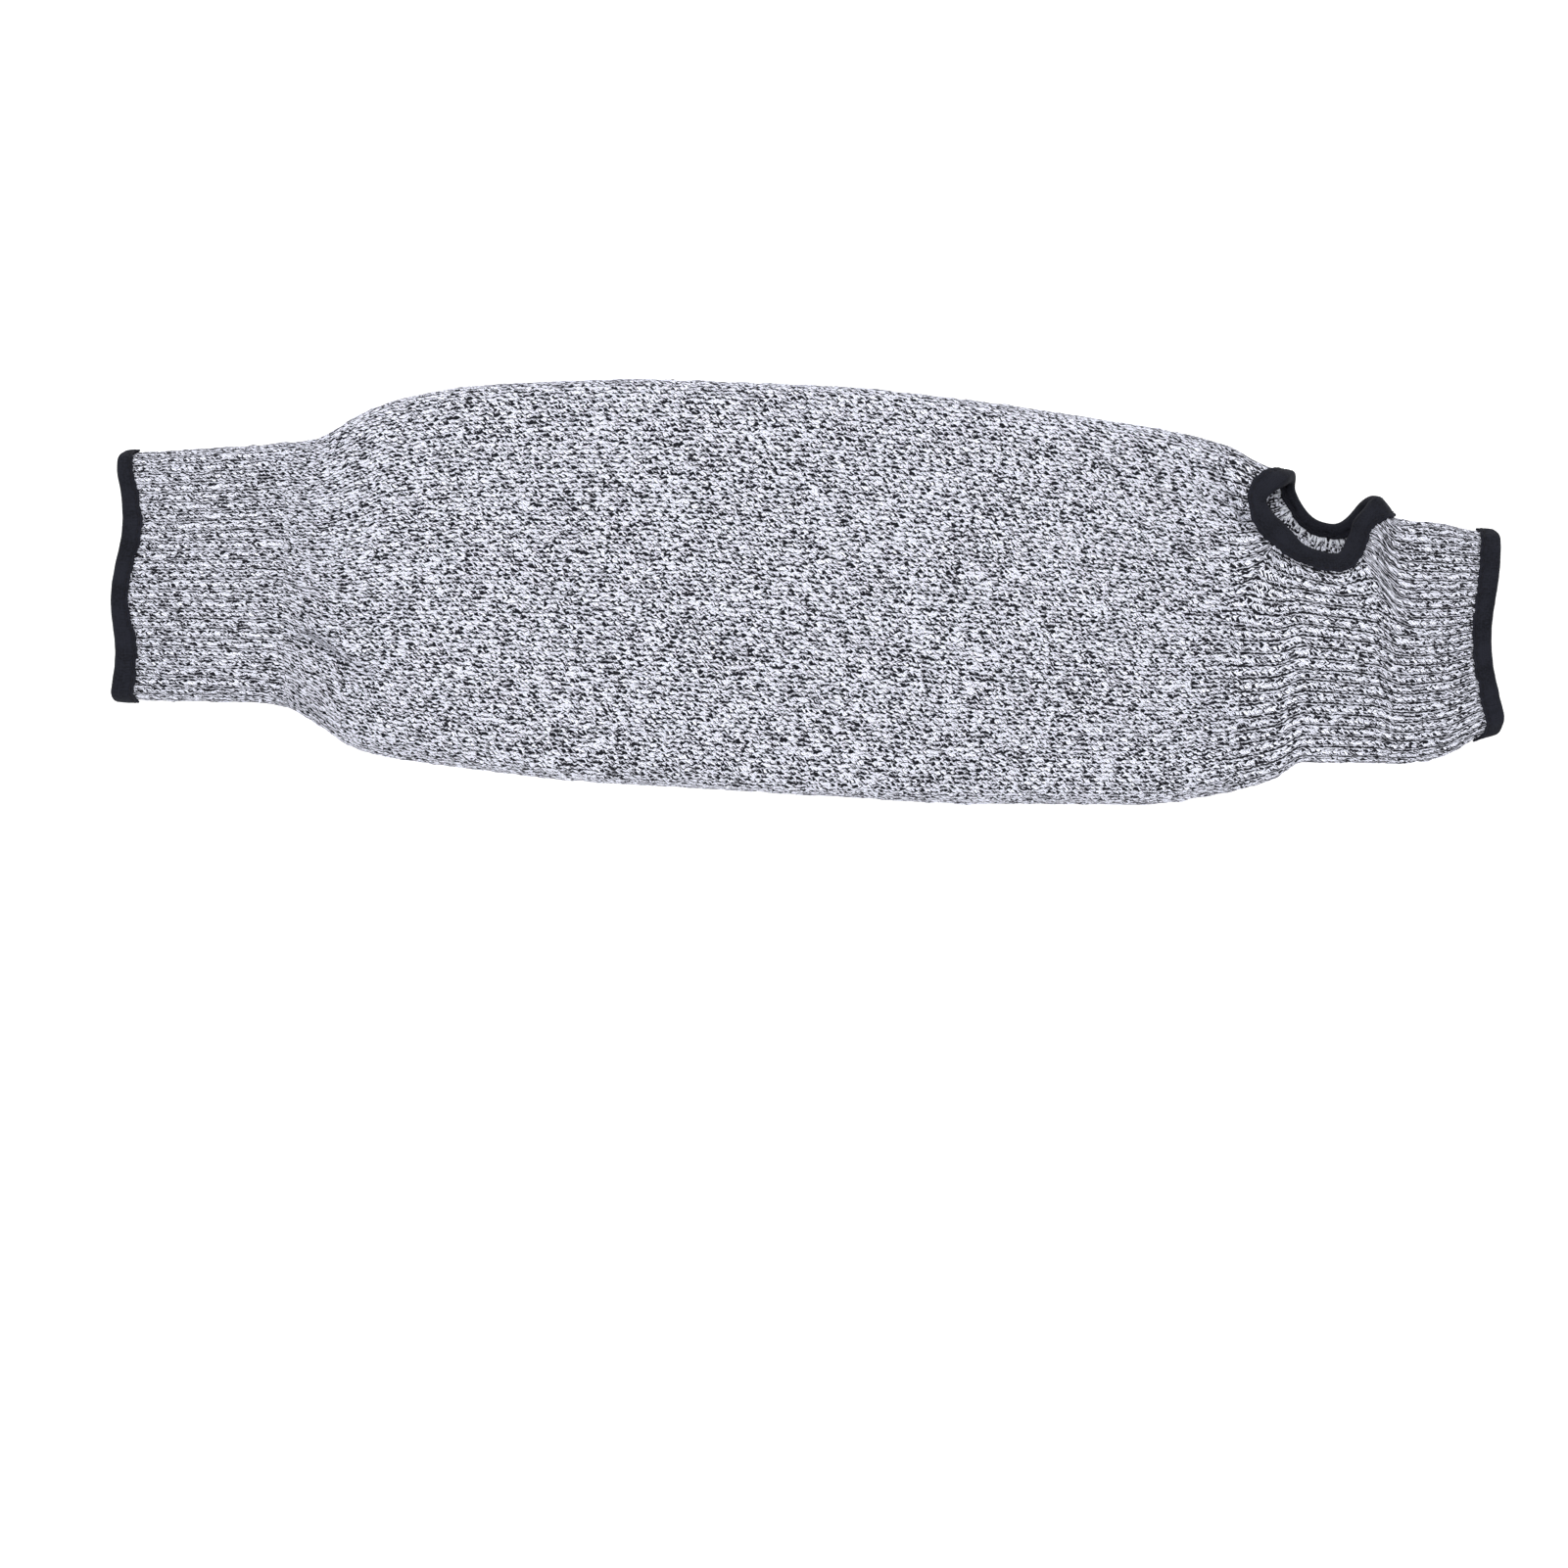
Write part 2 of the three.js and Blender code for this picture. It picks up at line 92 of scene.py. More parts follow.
# Station, thumb side edge and far edge as shares of the width, and height as a share of the height
OUTLINE = np.array(
    [
        (0.0, 0.322, -0.248, 0.62),
        (0.03, 0.331, -0.252, 0.63),
        (0.118, 0.346, -0.263, 0.7),
        (0.147, 0.356, -0.307, 0.77),
        (0.174, 0.404, -0.362, 0.85),
        (0.202, 0.447, -0.386, 0.91),
        (0.273, 0.486, -0.42, 0.98),
        (0.378, 0.498, -0.449, 1.0),
        (0.484, 0.486, -0.47, 1.0),
        (0.624, 0.447, -0.496, 0.98),
        (0.733, 0.391, -0.497, 0.92),
        (0.8, 0.342, -0.47, 0.83),
        (0.836, 0.289, -0.436, 0.77),
        (0.856, 0.272, -0.398, 0.74),
        (0.907, 0.228, -0.4, 0.68),
        (0.924, 0.172, -0.403, 0.66),
        (0.956, 0.161, -0.388, 0.63),
        (0.984, 0.144, -0.336, 0.62),
        (1.0, 0.138, -0.318, 0.62),
    ]
)

# Dents and gathers in the upper layer, each along a line: from and to as station and side shares, then
# depth and width as shares of the height. The first rows are the CAD model's, and the rest are finer.
DENTS = np.array(
    [
        (0.145, -0.1, 0.192, -0.2, 0.11, 0.225),
        (0.137, -0.25, 0.174, -0.322, 0.09, 0.25),
        (0.15, 0.27, 0.158, 0.1, 0.05, 0.3),
        (0.026, -0.1, 0.045, -0.18, 0.045, 0.3),
        (0.793, 0.27, 0.833, 0.08, 0.08, 0.25),
        (0.78, -0.07, 0.826, -0.12, 0.065, 0.225),
        (0.79, -0.28, 0.832, -0.32, 0.075, 0.225),
        (0.925, 0.03, 0.955, -0.09, 0.075, 0.45),
        (0.885, -0.26, 0.935, -0.33, 0.065, 0.4),
        (0.146, -0.1, 0.19, -0.198, 0.12, 0.09),
        (0.16, -0.175, 0.186, -0.225, 0.05, 0.09),
        (0.139, -0.252, 0.172, -0.316, 0.085, 0.09),
        (0.035, -0.13, 0.047, -0.17, 0.05, 0.1),
        (0.796, 0.268, 0.812, 0.17, 0.11, 0.09),
        (0.812, 0.17, 0.837, 0.08, 0.1, 0.09),
        (0.779, 0.255, 0.8, 0.15, 0.06, 0.1),
        (0.798, -0.055, 0.82, -0.12, 0.08, 0.09),
        (0.806, -0.125, 0.824, -0.185, 0.07, 0.09),
        (0.797, -0.28, 0.826, -0.34, 0.08, 0.09),
        (0.925, -0.02, 0.95, -0.045, 0.05, 0.11),
    ]
)

# How each hem wanders: inset, lean, wave (mm), run, crest (shares of half a width), slant of its tape
HEMS = {
    "elbow": {"inset": 1.9, "lean": 1.7, "wave": 0.9, "run": 1.1, "crest": 0.4, "slant": 0.24},
    "hand": {"inset": 1.7, "lean": 0.0, "wave": 1.4, "run": 1.5, "crest": 0.02, "slant": 0.0},
}

# Finer wandering that is left to the looks. Each row is a place across, from -1 at the far fold to 1 at the
# thumb side's, and the millimetres there by which the hem is drawn in and its tape is wider.
DRIFTS = {
    "elbow": np.array(
        [
            (-1.0, -0.5, 0.3),
            (-0.8, 0.0, 0.7),
            (-0.5, 0.9, 0.8),
            (-0.2, 0.6, -0.5),
            (0.1, 1.0, 0.6),
            (0.3, 1.5, 1.7),
            (0.6, 1.1, 1.2),
            (0.8, 0.2, 0.7),
            (1.0, 0.2, 0.3),
        ]
    ),
    "hand": np.array(
        [
            (-1.0, 0.4, 0.6),
            (-0.83, -0.3, 0.3),
            (-0.6, 1.2, 0.7),
            (-0.35, 1.9, 0.6),
            (0.0, 1.3, 0.9),
            (0.35, 0.8, 1.2),
            (0.7, 0.9, 1.3),
            (1.0, 0.1, 0.0),
        ]
    ),
}
CORNER_ROUNDING = 1.9
CORNER_SHARE = 0.13

# Places round the thumb hole where its edge swells or is drawn in: angle and reach in degrees, then how far
# the edge moves along the sleeve and round it, and how much wider the tape is, in millimetres.
RIM_BUMPS = np.array(
    [
        (6, 9, -1.5, 0.0, 0.0),
        (24, 15, -3.0, 0.0, -0.3),
        (47, 12, -1.4, 0.0, 0.0),
        (76, 14, 2.0, 0.9, 0.0),
        (128, 18, 2.8, 0.0, 0.0),
        (140, 14, 0.0, 0.0, 0.9),
        (155, 14, -2.6, 0.0, 0.0),
        (194, 15, 3.0, 0.0, -1.0),
        (268, 24, 0.0, 1.3, 0.0),
        (348, 12, 1.9, 0.0, -0.5),
        (178, 11, 1.1, 0.0, 0.0),
    ]
)


def station(at):
    return (at - 0.5) * LENGTH


ELBOW_RIBS = -LENGTH / 2 + ELBOW_TAPE * (1 + HEMS["elbow"]["slant"]) + RIB_CLEARANCE
HAND_RIBS = LENGTH / 2 - HAND_TAPE * (1 + HEMS["hand"]["slant"]) - RIB_CLEARANCE
HOLE_X = station(HOLE["at"])
HOLE_START = HOLE_X - HOLE["lean"] / 2 - HOLE["length"] / 2
HOLE_END = HOLE_X - HOLE["lean"] / 2 + HOLE["length"] / 2


def smooth(value, low, high):
    """The smooth step 3t^2 - 2t^3, with t from 0 at low to 1 at high."""
    t = np.clip((value - low) / (high - low), 0, 1)
    return t * t * (3 - 2 * t)


def along(table, column, at):
    """A table's column at a station, by the cubic through its rows whose slopes are harmonic means."""
    knots, values = table[:, 0], table[:, column]
    slope = np.diff(values) / np.diff(knots)
    product = slope[:-1] * slope[1:]
    total = slope[:-1] + slope[1:]
    mean = np.where(product > 0, 2 * product / np.where(total == 0, 1, total), 0)
    tangent = np.concatenate([slope[:1], mean, slope[-1:]])
    i = np.clip(np.searchsorted(knots, at) - 1, 0, len(knots) - 2)
    run = knots[i + 1] - knots[i]
    t = np.clip((at - knots[i]) / run, 0, 1)
    rise = values[i + 1] - values[i]
    bend = (tangent[i] * (1 - t) - tangent[i + 1] * t) * run - rise * (1 - 2 * t)
    return values[i] + rise * t + t * (1 - t) * bend


def waves(x, around, seed, run, turns, count=24):
    """A seamless random relief of standard deviation 1: the sum of cosines of random lengthways rate, up to
    one wave in run millimetres, of random whole turns round the tube, up to turns, and of random phase."""
    draw = np.random.default_rng(seed)
    rate = draw.uniform(-1, 1, count) * 2 * np.pi / run
    turn = draw.integers(-turns, turns + 1, count) * 2 * np.pi
    phase = draw.uniform(0, 2 * np.pi, count)
    total = sum(np.cos(r * x + n * around + p) for r, n, p in zip(rate, turn, phase))
    return total / math.sqrt(count / 2)


def cuffness(x, elbow_strength=1.0, hand_strength=1.0):
    """The strengths in the two cuffs and 0 in the plain body, changing smoothly over about 12 mm."""
    elbow = 1 - smooth(x, station(ELBOW_CUFF_END) - 6, station(ELBOW_CUFF_END) + 6)
    hand = smooth(x, station(HAND_CUFF_START) - 6, station(HAND_CUFF_START) + 6)
    return np.maximum(elbow * elbow_strength, hand * hand_strength)


class Surface:
    """The knit's outer face as tables over station and share around, and its place and normal anywhere.

    Each cross-section is a flattened ring. A layer's height above its fold line is r sqrt(1 - k^2), with r
    the fold's radius and k running from 1 at the fold to 0 a radius further in, and the upper layer has
    a dome of c(1 - s^2) on it, with s from 1 to -1 across. Points are spaced evenly along each layer.
    """

    STEP = 0.5
    ROUND = 896

    def __init__(self, relief):
        self.xs = np.arange(-LENGTH / 2 - 8, LENGTH / 2 + 8 + self.STEP, self.STEP)
        at = self.xs / LENGTH + 0.5
        thumb_edge = along(OUTLINE, 1, at) * WIDTH
        far_edge = along(OUTLINE, 2, at) * WIDTH
        height = along(OUTLINE, 3, at) * HEIGHT
        half = (thumb_edge - far_edge) / 2
        middle = (thumb_edge + far_edge) / 2
        crown = height * CROWN_SHARE
        radius = (height - crown) / 2
        lift = self.lift(self.xs)
        samples = 240
        across = np.cos(np.pi * np.arange(samples + 1) / samples)
        inside = half[:, None] * (1 - np.abs(across))
        turn = np.maximum(0, 1 - inside / radius[:, None])
        flat = radius[:, None] * np.sqrt(1 - turn * turn)
        y = middle[:, None] + half[:, None] * across
        half_round = self.ROUND // 2
        share = np.linspace(0, 1, half_round + 1)
        layers, lengths = [], []
        for side in (1, -1):
            dome = crown[:, None] * (1 - across * across) * max(side, 0)
            z = (lift + radius)[:, None] + side * flat + dome
            step = np.hypot(np.diff(y, axis=1), np.diff(z, axis=1))
            gone = np.concatenate([np.zeros((len(y), 1)), np.cumsum(step, axis=1)], axis=1)
            wanted = share * gone[:, -1:]
            level = [
                (np.interp(w, g, a), np.interp(w, g, b)) for w, g, a, b in zip(wanted, gone, y, z)
            ]
            layers.append(np.array(level))
            lengths.append(gone[:, -1])
        upper, lower = layers
        section = np.concatenate([upper, lower[:, :, -2::-1]], axis=2)
        grid_y, grid_z = section[:, 0], section[:, 1]
        grid_x = np.repeat(self.xs[:, None], self.ROUND + 1, axis=1)
        self.girth = lengths[0] + lengths[1]
        above = (grid_z - (lift + radius)[:, None]) / radius[:, None]
        around = np.linspace(0, 1, self.ROUND + 1)[None, :]
        grid_z = grid_z - self.dents(grid_x, grid_y) * smooth(above, 0.1, 1)
        self.points = np.stack([grid_x, grid_y, grid_z], axis=2)
        self.normals = self.facing()
        self.points = self.points + self.normals * relief(grid_x, around, above)[:, :, None]
        self.points[:, :, 2] = np.maximum(self.points[:, :, 2], 0)
        self.normals = self.facing()

    @staticmethod
    def lift(x):
        """How far the cloth stands off the ground, where a binding runs below it."""
        elbow = 1 - smooth(x, ELBOW_RIBS, ELBOW_RIBS + LIFT_RUN)
        hand = smooth(x, station(HAND_CUFF_START) - LIFT_RUN, station(HAND_CUFF_START))
        return BINDING_LIFT * np.maximum(elbow, hand)

    @staticmethod
    def dents(x, y):
        """The depth of the dents: for each line, its depth times exp(-(distance / width)^2)."""
        depth = np.zeros_like(x)
        for from_at, from_side, to_at, to_side, deep, wide in DENTS:
            start_x, start_y = station(from_at), from_side * WIDTH
            run_x, run_y = station(to_at) - start_x, to_side * WIDTH - start_y
            share = ((x - start_x) * run_x + (y - start_y) * run_y) / (run_x**2 + run_y**2)
            near = np.clip(share, 0, 1)
            away = np.hypot(x - start_x - near * run_x, y - start_y - near * run_y)
            depth += deep * HEIGHT * np.exp(-((away / (wide * HEIGHT)) ** 2))
        return depth

    def facing(self):
        """The unit normals that face out of the cloth: the slope round the tube times the slope along it."""
        ring = self.points[:, :-1]
        wrapped = np.concatenate([ring[:, -1:], ring, ring[:, :1]], axis=1)
        slope_round = (wrapped[:, 2:] - wrapped[:, :-2]) / 2
        slope_round = np.concatenate([slope_round, slope_round[:, :1]], axis=1)
        out = np.cross(slope_round, np.gradient(self.points, axis=0))
        return out / np.linalg.norm(out, axis=2, keepdims=True)

    def place(self, x, around):
        """The point and the normal at stations and shares around, blended from the four nearest entries."""
        row = np.clip((x - self.xs[0]) / self.STEP, 0, len(self.xs) - 1.001)
        column = (around % 1) * self.ROUND
        i, j = row.astype(int), np.minimum(column.astype(int), self.ROUND - 1)
        s, t = (row - i)[..., None], (column - j)[..., None]

        def blend(table):
            near = table[i, j] * (1 - t) + table[i, j + 1] * t
            far = table[i + 1, j] * (1 - t) + table[i + 1, j + 1] * t
            return near * (1 - s) + far * s

        out = blend(self.normals)
        return blend(self.points), out / np.linalg.norm(out, axis=-1, keepdims=True)


def soft_relief(x, around, above):
    """Relief finer than the CAD model's dents, in millimetres: broad swells and fine puckers, and pleats that
    fan out of each cuff into the body. All of it fades towards the flat underside."""
    upper = smooth(above, -0.6, 0.6)
    swells = 0.35 * waves(x, around, 11, 55, 3) * upper
    puckers = 0.07 * waves(x, around, 12, 9, 40, 40) * smooth(above, -0.95, -0.3)
    elbow_away = x - station(ELBOW_CUFF_END)
    hand_away = station(HAND_CUFF_START) - x
    fan = sum(
        np.exp(-(((away - 6) / np.where(away > 6, 17, 9)) ** 2)) for away in (elbow_away, hand_away)
    )
    bend = 0.5 * waves(x, around, 13, 60, 5)
    pleats = 0.3 * np.cos(2 * np.pi * 17 * around + bend * 2) + 0.22 * np.cos(2 * np.pi * 29 * around - bend * 3)
    near_hem = np.exp(-((HEM_EDGE - np.abs(x)) / 11) ** 2)
    gathers = 0.12 * np.cos(2 * np.pi * 31 * around + 2 * bend) * near_hem
    return swells + puckers + (pleats * fan + gathers) * upper


def hem_shift(x, around):
    """How far a row near a hem moves along the sleeve: its inset, its lean across the sleeve, a cosine wave
    across, its drift, a parabola that rounds its corners at the folds, and a set back on the lower layer, all
    fading within the hem's reach."""
    share = around % 1
    across = np.where(share <= 0.5, 1 - 4 * share, 4 * share - 3)
    lower = np.where(share > 0.5, np.sin((share - 0.5) * 2 * np.pi), 0)

    corner = np.maximum(0, 1 - (1 - np.abs(across)) / CORNER_SHARE)

    def shift(name):
        row = HEMS[name]
        wave = row["wave"] * np.cos(2 * np.pi * (across - row["crest"]) / row["run"])
        finer = along(DRIFTS[name], 1, across) + CORNER_ROUNDING * corner**2
        return row["inset"] + row["lean"] * across + wave + finer + LOWER_SET_BACK * lower

    def near(edge):
        return 1 - smooth(np.abs(edge - x), 0, HEM_REACH)

    return shift("elbow") * near(-HEM_EDGE) - shift("hand") * near(HEM_EDGE)


def rim_bumps(angle, column):
    """The sum over the bumps round the thumb hole of size times exp(-(angle away / reach)^2)."""
    total = np.zeros_like(angle)
    for row in RIM_BUMPS:
        away = (np.degrees(angle) - row[0] + 180) % 360 - 180
        total += row[column] * np.exp(-((away / row[1]) ** 2))
    return total


class ThumbHole:
    """The thumb hole: the block of the knit's grid that it takes, and the egg that it is drawn in to."""

    def __init__(self, surface):
        self.girth = float(np.interp(HOLE_X, surface.xs, surface.girth))
        ribs = RIBS / self.girth
        self.first = 2 * math.floor((HOLE["past_fold"] - HOLE["span"] / 2) * ribs)
        self.last = 2 * math.ceil((HOLE["past_fold"] + HOLE["span"] / 2) * ribs)
        self.middle_x = (HOLE_START + HOLE_END) / 2
        self.half_x = (HOLE_END - HOLE_START) / 2
        self.middle_column = (self.first + self.last) / 2
        self.half_columns = (self.last - self.first) / 2

    def edge(self, angle):
        """The cut edge: x = reach cos(angle), widened with the side, and the span round the fold is its
        sine, both moved by the rim's bumps. The edge leans towards the elbow on the upper layer."""
        across = np.sin(angle)
        reach = HOLE["length"] / 2 * np.cos(angle) * (1 + HOLE["broad"] * across)
        reach = reach + rim_bumps(angle, 2)
        span = HOLE["past_fold"] + HOLE["span"] / 2 * across + rim_bumps(angle, 3)
        return HOLE_X + reach - HOLE["lean"] * smooth(across, 0, 0.6), span / self.girth

    def corner(self, row_x, column):
        """Where a corner of the knit's grid lies. Column counts half ribs. The block's outline goes to the
        egg's edge at the same angle, and corners up to twice as far out are drawn in less and less."""
        signed = np.where(column > RIBS, column - 2 * RIBS, column)
        across_x = (row_x - self.middle_x) / self.half_x
        across_columns = (signed - self.middle_column) / self.half_columns
        away = np.maximum(np.abs(across_x), np.abs(across_columns))
        scale = np.maximum(away, 1e-9)
        angle = np.arctan2(across_columns, across_x)
        edge_x, edge_around = self.edge(angle)
        block_x = self.middle_x + across_x / scale * self.half_x
        block_around = (self.middle_column + across_columns / scale * self.half_columns) / (2 * RIBS)
        pull = (1 - smooth(away, 1, HOLE_REACH)) * (away > 0)
        x = row_x + (edge_x - block_x) * pull
        around = signed / (2 * RIBS) + (edge_around - block_around) * pull
        return x + hem_shift(x, around), around, away


def tube_rows():
    """The stations of the knit's rows, denser in the cuffs and at the thumb hole."""
    bands = [
        (ELBOW_RIBS, 1.7),
        (station(ELBOW_CUFF_END), 2.2),
        (station(0.233), 2.0),
        (station(0.749), 2.5),
        (station(HAND_CUFF_START), 2.0),
        (HOLE_START, 1.8),
        (HOLE_END, 1.6),
        (HOLE_END + 6, 1.6),
        (HAND_RIBS, 2.0),
        (HEM_EDGE, 1.7),
    ]
    rows = [np.array([-HEM_EDGE])]
    for end, pitch in bands:
        start = rows[-1][-1]
        cells = max(1, round((end - start) / pitch))
        rows.append(start + (end - start) * np.arange(1, cells + 1) / cells)
    return np.concatenate(rows)


def quads(rows, columns, wrap_rows=False, wrap_columns=False):
    """The corners of a grid's cells, anticlockwise seen with columns to the right and rows upwards: as
    indices into the grid of vertices, which wraps, and into the grid of UV corners, which doesn't."""
    r = np.arange(rows if wrap_rows else rows - 1)[:, None]
    c = np.arange(columns if wrap_columns else columns - 1)[None, :]
    wide = columns + 1 if wrap_columns else columns
    corner = [(r, c), (r, c + 1), (r + 1, c + 1), (r + 1, c)]
    vertex = np.stack([(i % rows) * columns + j % columns for i, j in corner], axis=2)
    spot = np.stack([i * wide + j for i, j in corner], axis=2)
    return vertex, spot


def make_piece(name, points, faces, uvs=None, uv_name="cloth", slots=None, materials=()):
    """Makes a mesh object from points in millimetres, faces of four or three corners, one UV for each
    corner of each face and one material slot number for each face."""
    sizes = np.array([f.shape[1] for f in faces]).repeat([len(f) for f in faces])
    loops = np.concatenate([f.reshape(-1) for f in faces])
    mesh = bpy.data.meshes.new(name)
    mesh.vertices.add(len(points))
    mesh.vertices.foreach_set("co", (points * MM).astype(np.float32).reshape(-1))
    mesh.loops.add(len(loops))
    mesh.loops.foreach_set("vertex_index", loops.astype(np.int32))
    mesh.polygons.add(len(sizes))
    mesh.polygons.foreach_set("loop_start", (np.cumsum(sizes) - sizes).astype(np.int32))
    mesh.polygons.foreach_set("use_smooth", np.ones(len(sizes), bool))
    if slots is not None:
        mesh.polygons.foreach_set("material_index", slots.astype(np.int32))
    if uvs is not None:
        layer = mesh.uv_layers.new(name=uv_name)
        layer.uv.foreach_set("vector", np.concatenate([u.reshape(-1, 2) for u in uvs]).astype(np.float32).reshape(-1))
    for material in materials:
        mesh.materials.append(material)
    mesh.update(calc_edges=True)
    if mesh.validate(verbose=False):
        raise ValueError(f"{name} has a bad face")
    piece = bpy.data.objects.new(name, mesh)
    bpy.context.scene.collection.objects.link(piece)
    return piece


# Where the four points of each rib lie, as shares of the rib: in the plain body they follow the wales, and
# in a cuff one wale fills the crest and the other two turn inwards in the groove.
RIB_WALES = np.array([0.0, 0.5, 1.5, 2.5])
BODY_SHARES = RIB_WALES / WALES_PER_RIB
CUFF_SHARES = np.array([0.0, 0.34, 0.5, 0.66])
GROOVE_WIDTH = 0.1
ELBOW_RIB_STRENGTH = 0.4
HAND_RIB_STRENGTH = 0.5


def knit_tube(surface, hole, wall, rib_depth, materials):
    """The knitted tube: an outer and an inner wall on one grid of rows and wales, the cut edges between them,
    and the block of cells at the thumb hole left out."""
    rows = tube_rows()
    per_rib = len(RIB_WALES)
    columns = RIBS * per_rib
    cuff = cuffness(rows, ELBOW_RIB_STRENGTH, HAND_RIB_STRENGTH)[:, None]
    shares = BODY_SHARES * (1 - cuff) + CUFF_SHARES * cuff
    rib = np.arange(RIBS)
    column = (2 * (rib[None, :, None] + shares[:, None, :])).reshape(len(rows), columns)
    row_x = np.repeat(rows[:, None], columns, axis=1)
    x, around, away = hole.corner(row_x, column)
    point, out = surface.place(x, around)

    # The groove's depth is a bell over the rib's share, and it closes under the tapes
    share = np.tile(shares, (1, RIBS)).reshape(len(rows), columns)
    bell = np.exp(-(((share - 0.5) / GROOVE_WIDTH) ** 2))
    clear = smooth(row_x, ELBOW_RIBS - 4, ELBOW_RIBS) * (1 - smooth(row_x, HAND_RIBS, HAND_RIBS + 4))
    clear = np.minimum(0.35 + clear, 1) * smooth(away, 1.0, 1.25)
    depth = rib_depth * bell * cuff * clear
    loops = np.random.default_rng(21).normal(0, 1, depth.shape) * smooth(away, 1.0, 1.25)
    at_fold = np.exp(-((np.minimum(np.abs(around % 0.5), 0.5 - np.abs(around % 0.5)) / 0.03) ** 2))
    depth -= loops * (0.06 + 0.09 * at_fold)
    outer = point - out * depth[:, :, None]
    outer[:, :, 2] = np.maximum(outer[:, :, 2], 0.0)
    inner = point - out * wall
    points = np.concatenate([outer.reshape(-1, 3), inner.reshape(-1, 3)])

    wales = np.concatenate([(rib[:, None] * WALES_PER_RIB + RIB_WALES).reshape(-1), [RIBS * WALES_PER_RIB]])
    uv = np.stack(np.broadcast_arrays(wales[None, :], rows[:, None]), axis=2).reshape(-1, 2)
    vertex, spot = quads(len(rows), columns, wrap_columns=True)
    hole_rows = np.where((rows > HOLE_START - 0.01) & (rows < HOLE_END + 0.01))[0]
    first_row, last_row = hole_rows[0], hole_rows[-1]
    first_column, last_column = hole.first // 2 * per_rib, hole.last // 2 * per_rib
    signed = np.arange(columns)
    signed = np.where(signed >= columns // 2, signed - columns, signed)
    open_row = (np.arange(len(rows) - 1) >= first_row) & (np.arange(len(rows) - 1) < last_row)
    open_column = (signed >= first_column) & (signed < last_column)
    kept = ~(open_row[:, None] & open_column[None, :])
    vertex, spot = vertex[kept], spot[kept]
    inside = len(rows) * columns

    # The loop round the hole, by rows and columns of the grid
    over = np.arange(first_column, last_column)
    down = np.arange(first_row, last_row)
    loop = np.concatenate(
        [
            np.stack([np.full_like(over, first_row), over], axis=1),
            np.stack([down, np.full_like(down, last_column)], axis=1),
            np.stack([np.full_like(over, last_row), over[::-1] + 1], axis=1),
            np.stack([down[::-1] + 1, np.full_like(down, first_column)], axis=1),
        ]
    )
    ring = loop[:, 0] * columns + loop[:, 1] % columns
    ring_uv = np.stack([wales[loop[:, 1] % columns], rows[loop[:, 0]]], axis=1)
    first = np.arange(columns)
    last = (len(rows) - 1) * columns + first
    edges = [(first + inside, first), (last, last + inside), (ring, ring + inside)]
    edge_uvs = [
        np.stack([wales[:-1], np.full(columns, rows[0])], axis=1),
        np.stack([wales[:-1], np.full(columns, rows[-1])], axis=1),
        ring_uv,
    ]
    faces = [vertex, vertex[:, ::-1] + inside]
    uvs = [uv[spot], uv[spot[:, ::-1]]]
    slots = [np.zeros(len(vertex)), np.ones(len(vertex))]
    for (one, two), edge_uv in zip(edges, edge_uvs):
        faces.append(np.stack([one, np.roll(one, -1), np.roll(two, -1), two], axis=1))
        uvs.append(np.stack([edge_uv] * 4, axis=1))
        slots.append(np.ones(len(one)))
    return make_piece(
        "knit_tube", points, faces, uvs, "stitches", np.concatenate(slots), materials
    )


# The tape's section as rows of: millimetres back from its inner border, share of its width from the cut edge
# (1 at the inner border), millimetres beyond the cut edge, side (1 on the outer face of the cloth, -1 on the
# inner face, between them round the nose), and lift in thicknesses. The dip at 0.7 is the sewn line.
LEG = [
    (0.0, 1.0, 0.0, 0.06),
    (-0.1, 1.0, 0.0, 0.4),
    (-0.04, 1.0, 0.0, 0.72),
    (0.16, 1.0, 0.0, 0.94),
    (0.5, 1.0, 0.0, 0.96),
    (0.85, 1.0, 0.0, 0.8),
    (1.1, 1.0, 0.0, 0.72),
    (1.35, 1.0, 0.0, 0.82),
    (1.8, 1.0, 0.0, 1.02),
    (0.0, 0.5, 0.0, 1.14),
    (0.0, 0.25, 0.0, 1.18),
    (0.0, 0.0, 0.0, 1.14),
]
SCALLOP_PITCH = 2.8
THUMB_INNER_SHARE = 0.82
NOSE_ANGLES = np.radians([66, 44, 22, 0, -22, -44, -66])
INSIDE = [(0.0, 0.0, 0.0, 0.0), (0.0, 0.5, 0.0, 0.0), (0.0, 1.0, 0.0, 0.0)]


def tape_profile(nose):
    """The tape's closed section, from its border on the outer face round the nose to the inner face and back
    along the cloth. The nose is half an ellipse that reaches out by nose."""
    rows = [(back, share, beyond, 1, lift) for back, share, beyond, lift in LEG]
    rows += [(0, 0, nose * math.cos(a), math.sin(a), 1.14) for a in NOSE_ANGLES]
    rows += [(back, share, beyond, -1, lift) for back, share, beyond, lift in LEG[::-1]]
    rows += [(back, share, beyond, -1, lift) for back, share, beyond, lift in INSIDE[::-1]]
    rows += [(0, 0, 0.2 * math.cos(a), math.sin(a), 0) for a in NOSE_ANGLES[::-2]]
    rows += [(back, share, beyond, 1, lift) for back, share, beyond, lift in INSIDE]
    return np.array(rows, float)


def tape_relief(distance, length, seed):
    """How a tape's width and fullness vary along it: sums of whole waves round its rim, of random phase."""
    draw = np.random.default_rng(seed)
    turn = 2 * np.pi * distance / length
    total = np.zeros((2, len(distance)))
    for kind in range(2):
        counts = draw.integers(3, max(8, int(length / 5)), 14)
        phases = draw.uniform(0, 2 * np.pi, 14)
        total[kind] = sum(np.cos(n * turn + p) for n, p in zip(counts, phases)) / math.sqrt(7)
    return total


